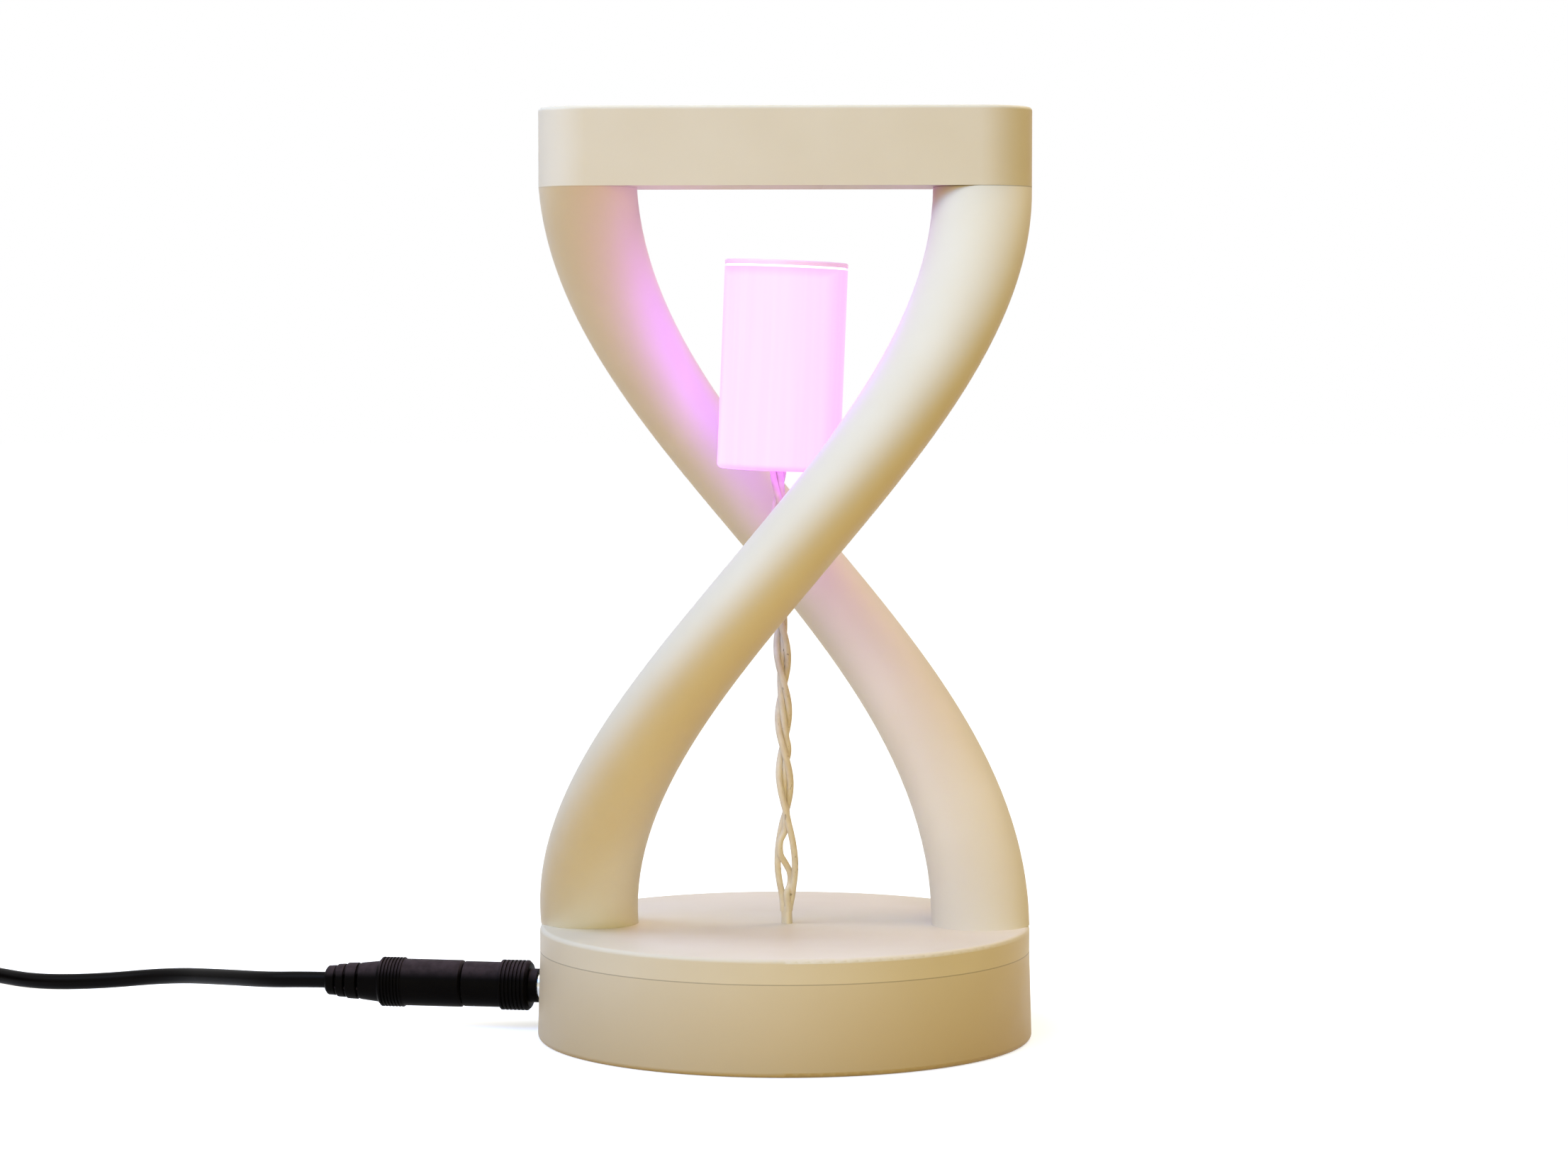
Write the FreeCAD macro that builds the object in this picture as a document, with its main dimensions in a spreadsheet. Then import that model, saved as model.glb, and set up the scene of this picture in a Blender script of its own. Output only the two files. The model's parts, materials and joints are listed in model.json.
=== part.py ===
"""A levitating desk lamp: a round base, two columns on a half-turn twist, a bar across their tops with
a magnet in it, and a lit shade that the magnet pulls up against a tether of three thin wires.
Millimetres, +Z up. The origin is the centre of the base's underside, and the bar lies along X."""

import FreeCAD, Part
import math
import os
import re

import Sketcher
from FreeCAD import Placement, Rotation, Vector

DOC = FreeCAD.newDocument("levitating_lamp")
SHEET = DOC.addObject("Spreadsheet::Sheet", "sizes")
NODES = []

SIZES = {
    # Base: a round can under a round plate
    "base_diameter": 100.0,
    "base_flare": 0.5,
    "housing_height": 18.0,
    "housing_wall": 2.6,
    "housing_floor": 2.4,
    "housing_round": 1.0,
    "plate_thickness": 5.0,
    "plate_round": 0.9,
    "lip_depth": 3.0,
    "lip_wall": 2.0,
    "lip_clearance": 0.2,
    "post_diameter": 8.0,
    "post_gap": 3.2,
    # Columns and bar
    "column_diameter": 20.0,
    "column_height": 150.0,
    "column_turn": 180.0,
    "cap_height": 16.0,
    "cap_round": 0.8,
    "magnet_diameter": 15.0,
    "magnet_thickness": 5.0,
    "magnet_clearance": 0.1,
    "cover_thickness": 1.5,
    "dowel_diameter": 6.0,
    "dowel_length": 14.0,
    "dowel_shift": 3.0,
    # Screws
    "screw_clearance": 0.05,
    "head_clearance": 0.2,
    "hole_spare": 0.2,
    "foot_screw_diameter": 4.0,
    "foot_screw_reach": 7.0,
    "foot_head_diameter": 8.0,
    "foot_head_height": 2.3,
    "base_screw_diameter": 3.0,
    "base_screw_reach": 4.0,
    "base_head_diameter": 5.6,
    "base_head_height": 2.0,
    "base_head_depth": 2.6,
    "board_screw_diameter": 2.0,
    "board_screw_reach": 2.4,
    "board_head_diameter": 3.8,
    "board_head_height": 1.3,
    # Shade
    "shade_diameter": 25.0,
    "shade_height": 42.3,
    "shade_wall": 1.4,
    "shade_floor": 1.4,
    "shade_round": 1.0,
    "shade_hole": 4.4,
    "shade_base_x": -1.3,
    "shade_base_z": 115.8,
    "shade_tilt": 2.3,
    "lid_rim": 1.0,
    "lid_round": 0.4,
    "lid_gap": 0.45,
    "lid_neck_inset": 0.5,
    "lid_spigot_depth": 3.0,
    "lid_clearance": 0.15,
    "shade_magnet_diameter": 14.0,
    "shade_magnet_thickness": 4.0,
    # Light source
    "core_base_diameter": 20.0,
    "core_base_height": 1.6,
    "core_side": 7.0,
    "core_height": 32.0,
    "strip_width": 6.0,
    "strip_thickness": 0.4,
    "strip_length": 28.0,
    "strip_gap": 0.2,
    "led_side": 5.0,
    "led_height": 1.6,
    "led_count": 3.0,
    # Tether
    "wire_diameter": 1.2,
    "strand_half_turns": 6.3,
    "strand_slack": 0.45,
    "strand_points": 24,
    "strand_gap": 0.09,
    "strand_looseness": 0.6,
    "loosest_at": 0.143,
    "bunch_share": 0.04,
    "wire_gap": 0.3,
    "tether_x": 0.5,
    "tether_hole": 4.4,
    "sleeve_diameter": 2.6,
    "sleeve_height": 3.8,
    "sleeve_sunk": 0.8,
    "tail_spread": 0.75,
    "tail_drop": 0.2,
    "tail_straight": 3.2,
    "tail_pitch": 2.0,
    "stop_diameter": 5.6,
    "stop_length": 4.0,
    "stop_bore": 2.9,
    # Driver board
    "board_length": 34.0,
    "board_width": 26.0,
    "board_thickness": 1.6,
    "board_standoff": 3.0,
    "standoff_diameter": 4.6,
    "board_hole_inset": 3.0,
    "board_hole": 2.4,
    "chip_side": 6.0,
    "chip_height": 1.6,
    "capacitor_diameter": 5.0,
    "capacitor_height": 6.0,
    "connector_length": 6.0,
    "connector_width": 8.0,
    "connector_height": 5.6,
    "lead_diameter": 1.2,
    "lead_leave": 6.0,
    "lead_bend": 10.0,
    "lead_aside": 7.6,
    "lead_step": 8.4,
    "lead_narrowing": 0.4,
    "lead_rise": 0.3,
    "lead_landing": 2.1,
    "lead_landing_aside": 6.0,
    # Power jack in the can's wall
    "jack_turn": 7.5,
    "jack_z": 8.8,
    "jack_hole": 6.6,
    "jack_width": 9.0,
    "jack_height": 10.6,
    "jack_length": 13.6,
    "jack_bore": 6.0,
    "jack_bore_depth": 9.8,
    "jack_pin_diameter": 2.0,
    "jack_pin_length": 8.6,
    "jack_gap": 0.1,
    "cradle_wall": 1.6,
    "cradle_height": 6.0,
    "terminal_width": 2.4,
    "terminal_thickness": 0.8,
    "terminal_length": 5.0,
    "terminal_spread": 5.0,
    # Barrel plugs: the tip's own and the lead's are one standard size
    "barrel_diameter": 5.5,
    "barrel_bore": 4.2,
    "barrel_reach": 9.4,
    "barrel_seat": 3.0,
    "insulator_bore": 2.2,
    "plug_stand_off": 0.5,
    # Adapter tip
    "collar_diameter": 6.7,
    "collar_length": 2.4,
    "tip_grip_diameter": 10.0,
    "tip_grip_length": 6.1,
    "tip_grip_bevel": 0.6,
    "tip_groove_count": 6.0,
    "tip_body_diameter": 9.0,
    "tip_body_length": 8.0,
    "tip_end_round": 0.5,
    "groove_width": 0.35,
    "groove_depth": 0.4,
    "socket_depth": 9.8,
    "socket_bore": 5.7,
    "socket_wall": 0.4,
    "socket_pin_diameter": 2.0,
    "socket_pin_length": 8.6,
    "mate_gap": 0.6,
    # Lead plug
    "plug_body_diameter": 9.4,
    "plug_body_length": 12.4,
    "plug_nose_round": 0.8,
    "plug_grip_diameter": 9.9,
    "plug_grip_length": 5.2,
    "plug_grip_bevel": 0.6,
    "plug_groove_count": 6.0,
    "relief_length": 11.5,
    "relief_wide": 8.1,
    "relief_narrow": 6.0,
    "relief_seat_diameter": 5.0,
    "relief_seat_length": 2.0,
    "relief_first": 4.2,
    "relief_bead_count": 3.0,
    "relief_step": 0.4,
    "relief_window": 0.55,
    "relief_window_angle": 50.0,
    "relief_neck": 4.4,
    # Power lead
    "cord_diameter": 3.4,
    "cord_lead_out": 5.0,
    "cord_run_in": 9.0,
    "coil_x": -205.5,
    "coil_y": 46.0,
    "coil_middle_diameter": 39.6,
    "coil_gap": 0.55,
    "coil_entry_angle": 68.0,
    "coil_exit_angle": 180.0,
    "coil_whole_turns": 6.0,
    "tie_thickness": 0.5,
    "tie_width": 12.0,
    "tie_clearance": 0.25,
    "tie_angle": 300.0,
    # Plug at the far end of the lead
    "usb_body_length": 22.0,
    "usb_body_width": 15.6,
    "usb_body_height": 8.0,
    "usb_body_round": 2.2,
    "usb_end_round": 1.0,
    "usb_relief_length": 7.0,
    "usb_relief_wide": 6.0,
    "usb_relief_narrow": 4.4,
    "usb_shell_length": 12.0,
    "usb_shell_seat": 3.0,
    "usb_shell_width": 12.0,
    "usb_shell_height": 4.5,
    "usb_sheet": 0.3,
    "usb_tongue_height": 1.9,
    "usb_tongue_gap": 0.1,
    "usb_contact_width": 1.0,
    "usb_contact_length": 7.0,
    "usb_contact_height": 0.2,
    "usb_contact_pitch": 2.3,
    "usb_contact_inset": 1.0,
}


def fill_sheet():
    for row, (name, number) in enumerate(SIZES.items(), 1):
        SHEET.set(f"A{row}", name)
        SHEET.set(f"B{row}", str(number))
        SHEET.setAlias(f"B{row}", name)
    DOC.recompute()


def size(name):
    return float(SHEET.get(name))


def bound(text):
    """The expression with each size's name written as the sheet's cell."""
    return re.sub("[a-z_]+", lambda word: f"sizes.{word[0]}" if word[0] in SIZES else word[0], text)


def worth(text):
    """The number that an expression gives now."""
    return float(SHEET.evalExpression(text))


def bind(thing, name, text):
    thing.setExpression(name, bound(text))


# Sketches and features

def new_body(name):
    body = DOC.addObject("PartDesign::Body", name)
    body.Label = name
    return body


def add_sketch(body, role="XY_Plane", lift=None):
    sketch = body.newObject("Sketcher::SketchObject", f"{body.Name}_sketch")
    plane = next(f for f in body.Origin.OriginFeatures if f.Role == role)
    sketch.AttachmentSupport = [(plane, "")]
    sketch.MapMode = "FlatFace"
    if lift:
        bind(sketch, ".AttachmentOffset.Base.z", lift)
    return sketch


def dimension(sketch, kind, where, text):
    number = sketch.addConstraint(Sketcher.Constraint(kind, *where, worth(text)))
    bind(sketch, f"Constraints[{number}]", text)


def place_point(sketch, piece, end, x, y):
    """Ties a point of the sketch to its two coordinates."""
    for kind, text, axis in (("DistanceX", x, -2), ("DistanceY", y, -1)):
        if text == "0":
            sketch.addConstraint(Sketcher.Constraint("PointOnObject", piece, end, axis))
        else:
            dimension(sketch, kind, (-1, 1, piece, end), text)


def draw_circle(sketch, x, y, diameter):
    centre = Vector(worth(x), worth(y), 0)
    ring = sketch.addGeometry(Part.Circle(centre, Vector(0, 0, 1), worth(diameter) / 2))
    place_point(sketch, ring, 3, x, y)
    dimension(sketch, "Diameter", (ring,), diameter)


def draw_outline(sketch, corners):
    """A closed line through the corners, each a pair of expressions."""
    spots = [Vector(worth(x), worth(y), 0) for x, y in corners]
    first = sketch.GeometryCount
    count = len(spots)
    for number in range(count):
        sketch.addGeometry(Part.LineSegment(spots[number], spots[(number + 1) % count]))
    for number in range(count):
        follower = first + (number + 1) % count
        sketch.addConstraint(Sketcher.Constraint("Coincident", first + number, 2, follower, 1))
    for number, (x, y) in enumerate(corners):
        place_point(sketch, first + number, 1, x, y)


def draw_box(sketch, x_low, x_high, y_low, y_high):
    draw_outline(sketch, [(x_low, y_low), (x_high, y_low), (x_high, y_high), (x_low, y_high)])


def draw_slot(sketch, half_span, radius):
    """A bar outline with half-round ends, lying along X about the origin."""
    span, round_end = worth(half_span), worth(radius)
    up = Vector(0, 0, 1)
    right = Part.ArcOfCircle(Part.Circle(Vector(span, 0, 0), up, round_end), -math.pi / 2, math.pi / 2)
    left = Part.ArcOfCircle(Part.Circle(Vector(-span, 0, 0), up, round_end), math.pi / 2, 1.5 * math.pi)
    top = Part.LineSegment(Vector(span, round_end, 0), Vector(-span, round_end, 0))
    bottom = Part.LineSegment(Vector(-span, -round_end, 0), Vector(span, -round_end, 0))
    for piece in (right, top, left, bottom):
        sketch.addGeometry(piece)
    for one, other in ((0, 1), (1, 2), (2, 3), (3, 0)):
        sketch.addConstraint(Sketcher.Constraint("Tangent", one, 2, other, 1))
    sketch.addConstraint(Sketcher.Constraint("PointOnObject", 0, 3, -1))
    sketch.addConstraint(Sketcher.Constraint("PointOnObject", 2, 3, -1))
    dimension(sketch, "DistanceX", (-1, 1, 0, 3), half_span)
    dimension(sketch, "DistanceX", (2, 3, -1, 1), half_span)
    dimension(sketch, "Radius", (0,), radius)


def pad(body, sketch, length, downward=False):
    feature = body.newObject("PartDesign::Pad", f"{body.Name}_pad")
    feature.Profile = sketch
    bind(feature, "Length", length)
    feature.Reversed = downward
    return feature


def pocket(body, sketch, depth, upward=False):
    """A cut from the sketch, against its normal or, where upward is true, along it."""
    before = solid_volume(body)
    feature = body.newObject("PartDesign::Pocket", f"{body.Name}_pocket")
    feature.Profile = sketch
    bind(feature, "Length", depth)
    feature.Reversed = upward
    DOC.recompute()
    if solid_volume(body) > before - 1e-6:
        raise ValueError(f"a pocket of {body.Name} cuts nothing")
    return feature


def solid_volume(body):
    DOC.recompute()
    return body.Shape.Volume


def revolve(body, corners):
    """A turned solid about Z, from an outline of (radius, height) pairs."""
    sketch = add_sketch(body, "XZ_Plane")
    draw_outline(sketch, corners)
    feature = body.newObject("PartDesign::Revolution", f"{body.Name}_turned")
    feature.Profile = sketch
    feature.ReferenceAxis = (sketch, ["V_Axis"])
    feature.Angle = 360
    return feature


def ring_grooves(body, role, radius_in, radius_out, low, high, pitch, count, angle="360"):
    """A row of turned grooves along Z, the first from low to high, centred on the sketch's plane."""
    before = solid_volume(body)
    sketch = add_sketch(body, role)
    draw_box(sketch, radius_in, radius_out, low, high)
    groove = body.newObject("PartDesign::Groove", f"{body.Name}_groove")
    groove.Profile = sketch
    groove.ReferenceAxis = (sketch, ["V_Axis"])
    groove.Midplane = True
    bind(groove, "Angle", angle)
    row = body.newObject("PartDesign::LinearPattern", f"{body.Name}_row")
    row.Originals = [groove]
    row.Direction = (sketch, ["V_Axis"])
    bind(row, "Length", f"({count} - 1) * {pitch}")
    bind(row, "Occurrences", count)
    body.Tip = row
    if solid_volume(body) > before - 1e-6:
        raise ValueError(f"the grooves of {body.Name} cut nothing")
    return row


def edges_of(shape, wanted):
    """The names of the edges that a test picks."""
    return [f"Edge{number}" for number, edge in enumerate(shape.Edges, 1) if wanted(edge)]


def flat_at(edge, height):
    """True for an edge that lies at one height."""
    box = edge.BoundBox
    return abs(box.ZMin - height) < 1e-4 and abs(box.ZMax - height) < 1e-4


def reach(edge):
    """How far an edge goes from the Z axis."""
    box = edge.BoundBox
    return max(abs(box.XMin), abs(box.XMax), abs(box.YMin), abs(box.YMax))


def fillet(body, wanted, radius):
    DOC.recompute()
    base = body.Tip
    names = edges_of(base.Shape, wanted)
    if not names:
        raise ValueError(f"no edge of {body.Name} to round")
    feature = body.newObject("PartDesign::Fillet", f"{body.Name}_round")
    feature.Base = (base, names)
    bind(feature, "Radius", radius)
    return feature


def keep(thing, place=None):
    """Puts a sub-part where it belongs and lists it for writing."""
    if place is not None:
        thing.Placement = place
    NODES.append(thing)
    return thing


def at(x, y, z):
    return Placement(Vector(x, y, z), Rotation())


# Plain solids

def cylinder(name, radius, height, place=None):
    thing = DOC.addObject("Part::Cylinder", name)
    bind(thing, "Radius", radius)
    bind(thing, "Height", height)
    thing.Placement = place or Placement()
    return thing


def cone(name, low_radius, high_radius, height, place=None):
    thing = DOC.addObject("Part::Cone", name)
    bind(thing, "Radius1", low_radius)
    bind(thing, "Radius2", high_radius)
    bind(thing, "Height", height)
    thing.Placement = place or Placement()
    return thing


def block(name, length, width, height, place=None):
    thing = DOC.addObject("Part::Box", name)
    bind(thing, "Length", length)
    bind(thing, "Width", width)
    bind(thing, "Height", height)
    thing.Placement = place or Placement()
    return thing


def join(name, pieces):
    thing = DOC.addObject("Part::MultiFuse", name)
    thing.Shapes = pieces
    return thing


def cut(name, base, tool):
    thing = DOC.addObject("Part::Cut", name)
    thing.Base = base
    thing.Tool = tool
    return thing


def group(name, pieces):
    """Separate solids kept together as one sub-part."""
    thing = DOC.addObject("Part::Compound", name)
    thing.Links = pieces
    thing.Label = name
    return thing


# Places that several pieces share

INNER_RADIUS = "(base_diameter / 2 - housing_wall)"

# How far a column's end stands from the lamp's axis: its outer side is flush with the base's
COLUMN_REACH = "((base_diameter - column_diameter) / 2)"

# Four posts on the diagonals, clear of the plate's lip
POST_SPREAD = f"({INNER_RADIUS} - lip_clearance - lip_wall - post_gap - post_diameter / 2) * sqrt(0.5)"
POST_SPOTS = [(f"{a} * {POST_SPREAD}", f"{b} * {POST_SPREAD}") for a in (1, -1) for b in (1, -1)]

# The board's middle: halfway between the tether's stop and the can's wall
BOARD_X = f"((tether_x + stop_diameter / 2 + sqrt({INNER_RADIUS} ^ 2 - (board_width / 2) ^ 2)) / 2)"


def plate_top():
    return size("housing_height") + size("plate_thickness")


def cap_bottom():
    return plate_top() + size("column_height")


def jack_place(out):
    """A frame on the jack's axis, so far out beyond the can's wall: local Z points out of the lamp and
    local X up."""
    turn = math.radians(180 - size("jack_turn"))
    outward, up = Vector(math.cos(turn), math.sin(turn), 0), Vector(0, 0, 1)
    spot = outward * (size("base_diameter") / 2 + out)
    spot.z = size("jack_z")
    return Placement(spot, Rotation(up, outward.cross(up), outward, "ZXY"))


def jack_face():
    """Where the jack's flat face stands behind the can's curved wall."""
    face = worth(f"sqrt({INNER_RADIUS} ^ 2 - (jack_width / 2) ^ 2) - jack_gap")
    return jack_place(face - size("base_diameter") / 2)


def shade_place():
    """The shade's own frame: the centre of its underside, leaning to the right."""
    spot = Vector(size("shade_base_x"), 0, size("shade_base_z"))
    return Placement(spot, Rotation(Vector(0, 1, 0), size("shade_tilt")))


def board_spots():
    long = size("board_length") / 2 - size("board_hole_inset")
    wide = size("board_width") / 2 - size("board_hole_inset")
    return [Vector(worth(BOARD_X) + a * long, b * wide, 0) for a in (-1, 1) for b in (-1, 1)]


def board_top():
    return size("housing_floor") + size("board_standoff") + size("board_thickness")


# Base

def make_housing():
    body = new_body("base_housing")
    corners = [
        ("0", "0"),
        ("base_diameter / 2 + base_flare", "0"),
        ("base_diameter / 2", "housing_height"),
        (INNER_RADIUS, "housing_height"),
        (INNER_RADIUS, "housing_floor"),
        ("0", "housing_floor"),
    ]
    revolve(body, corners)
    rim = size("base_diameter") / 2
    fillet(body, lambda edge: flat_at(edge, 0) and reach(edge) > rim, "housing_round")
    add_posts(body)
    add_standoffs(body)
    add_cradle(body)
    bore_jack_hole(body)
    return keep(body)


def add_posts(body):
    sketch = add_sketch(body, lift="housing_floor")
    for x, y in POST_SPOTS:
        draw_circle(sketch, x, y, "post_diameter")
    pad(body, sketch, "housing_height - housing_floor")
    for diameter, depth in (
        ("base_screw_diameter + 2 * screw_clearance", "housing_height"),
        ("base_head_diameter + 2 * head_clearance", "base_head_depth"),
    ):
        holes = add_sketch(body)
        for x, y in POST_SPOTS:
            draw_circle(holes, x, y, diameter)
        pocket(body, holes, depth, upward=True)


def add_standoffs(body):
    long = "(board_length / 2 - board_hole_inset)"
    wide = "(board_width / 2 - board_hole_inset)"
    spots = [(f"{BOARD_X} {a} {long}", f"{b} * {wide}") for a in "+-" for b in ("1", "-1")]
    sketch = add_sketch(body, lift="housing_floor")
    for x, y in spots:
        draw_circle(sketch, x, y, "standoff_diameter")
    pad(body, sketch, "board_standoff")
    holes = add_sketch(body, lift="housing_floor + board_standoff")
    for x, y in spots:
        draw_circle(holes, x, y, "board_screw_diameter + 2 * screw_clearance")
    pocket(body, holes, "board_screw_reach + hole_spare")


def add_cradle(body):
    """A pad under the jack with a wall each side, in line with the hole."""
    far = f"{INNER_RADIUS} + housing_wall / 2"
    near = f"{INNER_RADIUS} - 2 * jack_gap - jack_length"
    half = "(jack_width / 2 + jack_gap)"
    for y_low, y_high, height in (
        (f"-1 * {half}", half, "jack_z - jack_height / 2 - housing_floor"),
        (half, f"{half} + cradle_wall", "cradle_height"),
        (f"-1 * {half} - cradle_wall", f"-1 * {half}", "cradle_height"),
    ):
        sketch = add_sketch(body, lift="housing_floor")
        bind(sketch, ".AttachmentOffset.Rotation.Angle", "180 - jack_turn")
        draw_box(sketch, near, far, y_low, y_high)
        pad(body, sketch, height)


def bore_jack_hole(body):
    sketch = add_sketch(body, "YZ_Plane")
    sketch.AttachmentOffset = Placement(Vector(), Rotation(Vector(0, 1, 0), 1))
    inside = "(base_diameter / 2 - 2 * housing_wall)"
    bind(sketch, ".AttachmentOffset.Rotation.Angle", "-1 * jack_turn")
    bind(sketch, ".AttachmentOffset.Base.x", f"{inside} * sin(jack_turn)")
    bind(sketch, ".AttachmentOffset.Base.z", f"-1 * {inside} * cos(jack_turn)")
    draw_circle(sketch, "0", "jack_z", "jack_hole")
    pocket(body, sketch, "4 * housing_wall")


def make_plate():
    body = new_body("base_plate")
    sketch = add_sketch(body)
    draw_circle(sketch, "0", "0", "base_diameter")
    pad(body, sketch, "plate_thickness")
    thick = size("plate_thickness")
    fillet(body, lambda edge: flat_at(edge, thick), "plate_round")
    lip = add_sketch(body)
    outer = "base_diameter - 2 * housing_wall - 2 * lip_clearance"
    draw_circle(lip, "0", "0", outer)
    draw_circle(lip, "0", "0", f"{outer} - 2 * lip_wall")
    pad(body, lip, "lip_depth", downward=True)
    hole = add_sketch(body)
    draw_circle(hole, "0", "0", "tether_hole")
    pocket(body, hole, "plate_thickness", upward=True)
    add_plate_screw_holes(body)
    return keep(body, at(0, 0, size("housing_height")))


def add_plate_screw_holes(body):
    pilot = add_sketch(body)
    for x, y in POST_SPOTS:
        draw_circle(pilot, x, y, "base_screw_diameter + 2 * screw_clearance")
    pocket(body, pilot, "base_screw_reach + hole_spare", upward=True)
    for diameter, depth in (
        ("foot_screw_diameter + 2 * screw_clearance", "plate_thickness"),
        ("foot_head_diameter + 2 * head_clearance", "foot_head_height"),
    ):
        holes = add_sketch(body)
        draw_circle(holes, f"-1 * {COLUMN_REACH}", "-1 * dowel_shift", diameter)
        draw_circle(holes, COLUMN_REACH, "dowel_shift", diameter)
        pocket(body, holes, depth, upward=True)


# Columns and bar

STATIONS = 12


def make_column(name, side):
    """A round column whose level sections turn about the lamp's axis; side is 1 for the one that starts
    on the left and passes in front."""
    body = new_body(name)
    sections = []
    for number in range(STATIONS + 1):
        share = f"{number} / {STATIONS}"
        sketch = add_sketch(body, lift=f"column_height * {share}")
        bind(sketch, ".AttachmentOffset.Base.x", f"{-side} * {COLUMN_REACH} * cos(column_turn * {share})")
        bind(sketch, ".AttachmentOffset.Base.y", f"{-side} * {COLUMN_REACH} * sin(column_turn * {share})")
        draw_circle(sketch, "0", "0", "column_diameter")
        sections.append(sketch)
    loft = body.newObject("PartDesign::AdditiveLoft", f"{name}_loft")
    loft.Profile = sections[0]
    loft.Sections = sections[1:]
    foot = add_sketch(body)
    draw_circle(foot, f"{-side} * {COLUMN_REACH}", f"{-side} * dowel_shift",
                "foot_screw_diameter + 2 * screw_clearance")
    pocket(body, foot, "foot_screw_reach + hole_spare", upward=True)
    head = add_sketch(body, lift="column_height")
    draw_circle(head, f"{side} * {COLUMN_REACH}", f"{-side} * dowel_shift",
                "dowel_diameter + 2 * screw_clearance")
    pocket(body, head, "dowel_length / 2 + hole_spare")
    return keep(body, at(0, 0, plate_top()))


def make_cap():
    body = new_body("cap_bar")
    sketch = add_sketch(body)
    draw_slot(sketch, COLUMN_REACH, "column_diameter / 2")
    pad(body, sketch, "cap_height")
    top = size("cap_height")
    fillet(body, lambda edge: flat_at(edge, top), "cap_round")
    sockets = add_sketch(body)
    diameter = "dowel_diameter + 2 * screw_clearance"
    draw_circle(sockets, COLUMN_REACH, "-1 * dowel_shift", diameter)
    draw_circle(sockets, f"-1 * {COLUMN_REACH}", "dowel_shift", diameter)
    pocket(body, sockets, "dowel_length / 2 + hole_spare", upward=True)
    well = add_sketch(body)
    draw_circle(well, "0", "0", "magnet_diameter + 2 * magnet_clearance")
    pocket(body, well, "cover_thickness + magnet_thickness", upward=True)
    return keep(body, at(0, 0, cap_bottom()))


def make_cap_fittings():
    dowels = []
    for side in (1, -1):
        low = cap_bottom() - size("dowel_length") / 2
        place = at(side * worth(COLUMN_REACH), -side * size("dowel_shift"), low)
        dowels.append(cylinder("dowel", "dowel_diameter / 2", "dowel_length", place))
    keep(group("cap_dowels", dowels))
    cover = cylinder("magnet_cover", "magnet_diameter / 2", "cover_thickness")
    keep(cover, at(0, 0, cap_bottom()))
    magnet = cylinder("cap_magnet", "magnet_diameter / 2", "magnet_thickness")
    keep(magnet, at(0, 0, cap_bottom() + size("cover_thickness")))


def make_screws(name, spots, turn_over, prefix, length):
    """Screws with their heads' outer faces at the spots; turn_over points them downwards."""
    screws = []
    for spot in spots:
        flip = Rotation(Vector(1, 0, 0), 180) if turn_over else Rotation()
        place = Placement(spot, flip)
        head = cylinder("head", f"{prefix}_head_diameter / 2", f"{prefix}_head_height")
        shank = cylinder("shank", f"{prefix}_screw_diameter / 2", length)
        screw = join("screw", [head, shank])
        screw.Placement = place
        screws.append(screw)
    return keep(group(name, screws))


def make_all_screws():
    seat = size("base_head_depth") - size("base_head_height")
    spots = [Vector(worth(x), worth(y), seat) for x, y in POST_SPOTS]
    reach_up = "housing_height - base_head_depth + base_head_height + base_screw_reach"
    make_screws("base_screws", spots, False, "base", reach_up)
    under, out = size("housing_height"), worth(COLUMN_REACH)
    feet = [Vector(side * out, side * size("dowel_shift"), under) for side in (-1, 1)]
    make_screws("column_foot_screws", feet, False, "foot", "plate_thickness + foot_screw_reach")
    above = board_top() + size("board_head_height")
    spots = [Vector(spot.x, spot.y, above) for spot in board_spots()]
    down = "board_head_height + board_thickness + board_screw_reach"
    make_screws("board_screws", spots, True, "board", down)


# Shade and light source

def make_shade():
    body = new_body("shade_body")
    wall_in = "shade_diameter / 2 - shade_wall"
    top = "shade_height - lid_rim - lid_gap"
    corners = [
        ("shade_hole / 2", "0"),
        ("shade_diameter / 2", "0"),
        ("shade_diameter / 2", top),
        (wall_in, top),
        (wall_in, "shade_floor"),
        ("shade_hole / 2", "shade_floor"),
    ]
    revolve(body, corners)
    outer = size("shade_diameter") / 2
    fillet(body, lambda edge: flat_at(edge, 0) and reach(edge) > outer - 0.1, "shade_round")
    keep(body, shade_place())
    lid = new_body("shade_lid")
    rim_low = "shade_height - lid_rim"
    spigot_out = "shade_diameter / 2 - shade_wall - lid_clearance"
    spigot_in = "shade_magnet_diameter / 2 + magnet_clearance"
    corners = [
        ("0", "shade_height"),
        ("shade_diameter / 2", "shade_height"),
        ("shade_diameter / 2", rim_low),
        ("shade_diameter / 2 - lid_neck_inset", rim_low),
        ("shade_diameter / 2 - lid_neck_inset", top),
        (spigot_out, top),
        (spigot_out, f"{top} - lid_spigot_depth"),
        (spigot_in, f"{top} - lid_spigot_depth"),
        (spigot_in, top),
        ("0", top),
    ]
    revolve(lid, corners)
    height = size("shade_height")
    fillet(lid, lambda edge: flat_at(edge, height), "lid_round")
    keep(lid, shade_place())
    magnet = cylinder("shade_magnet", "shade_magnet_diameter / 2", "shade_magnet_thickness")
    below = worth(top) - size("shade_magnet_thickness")
    keep(magnet, shade_place().multiply(at(0, 0, below)))


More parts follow.
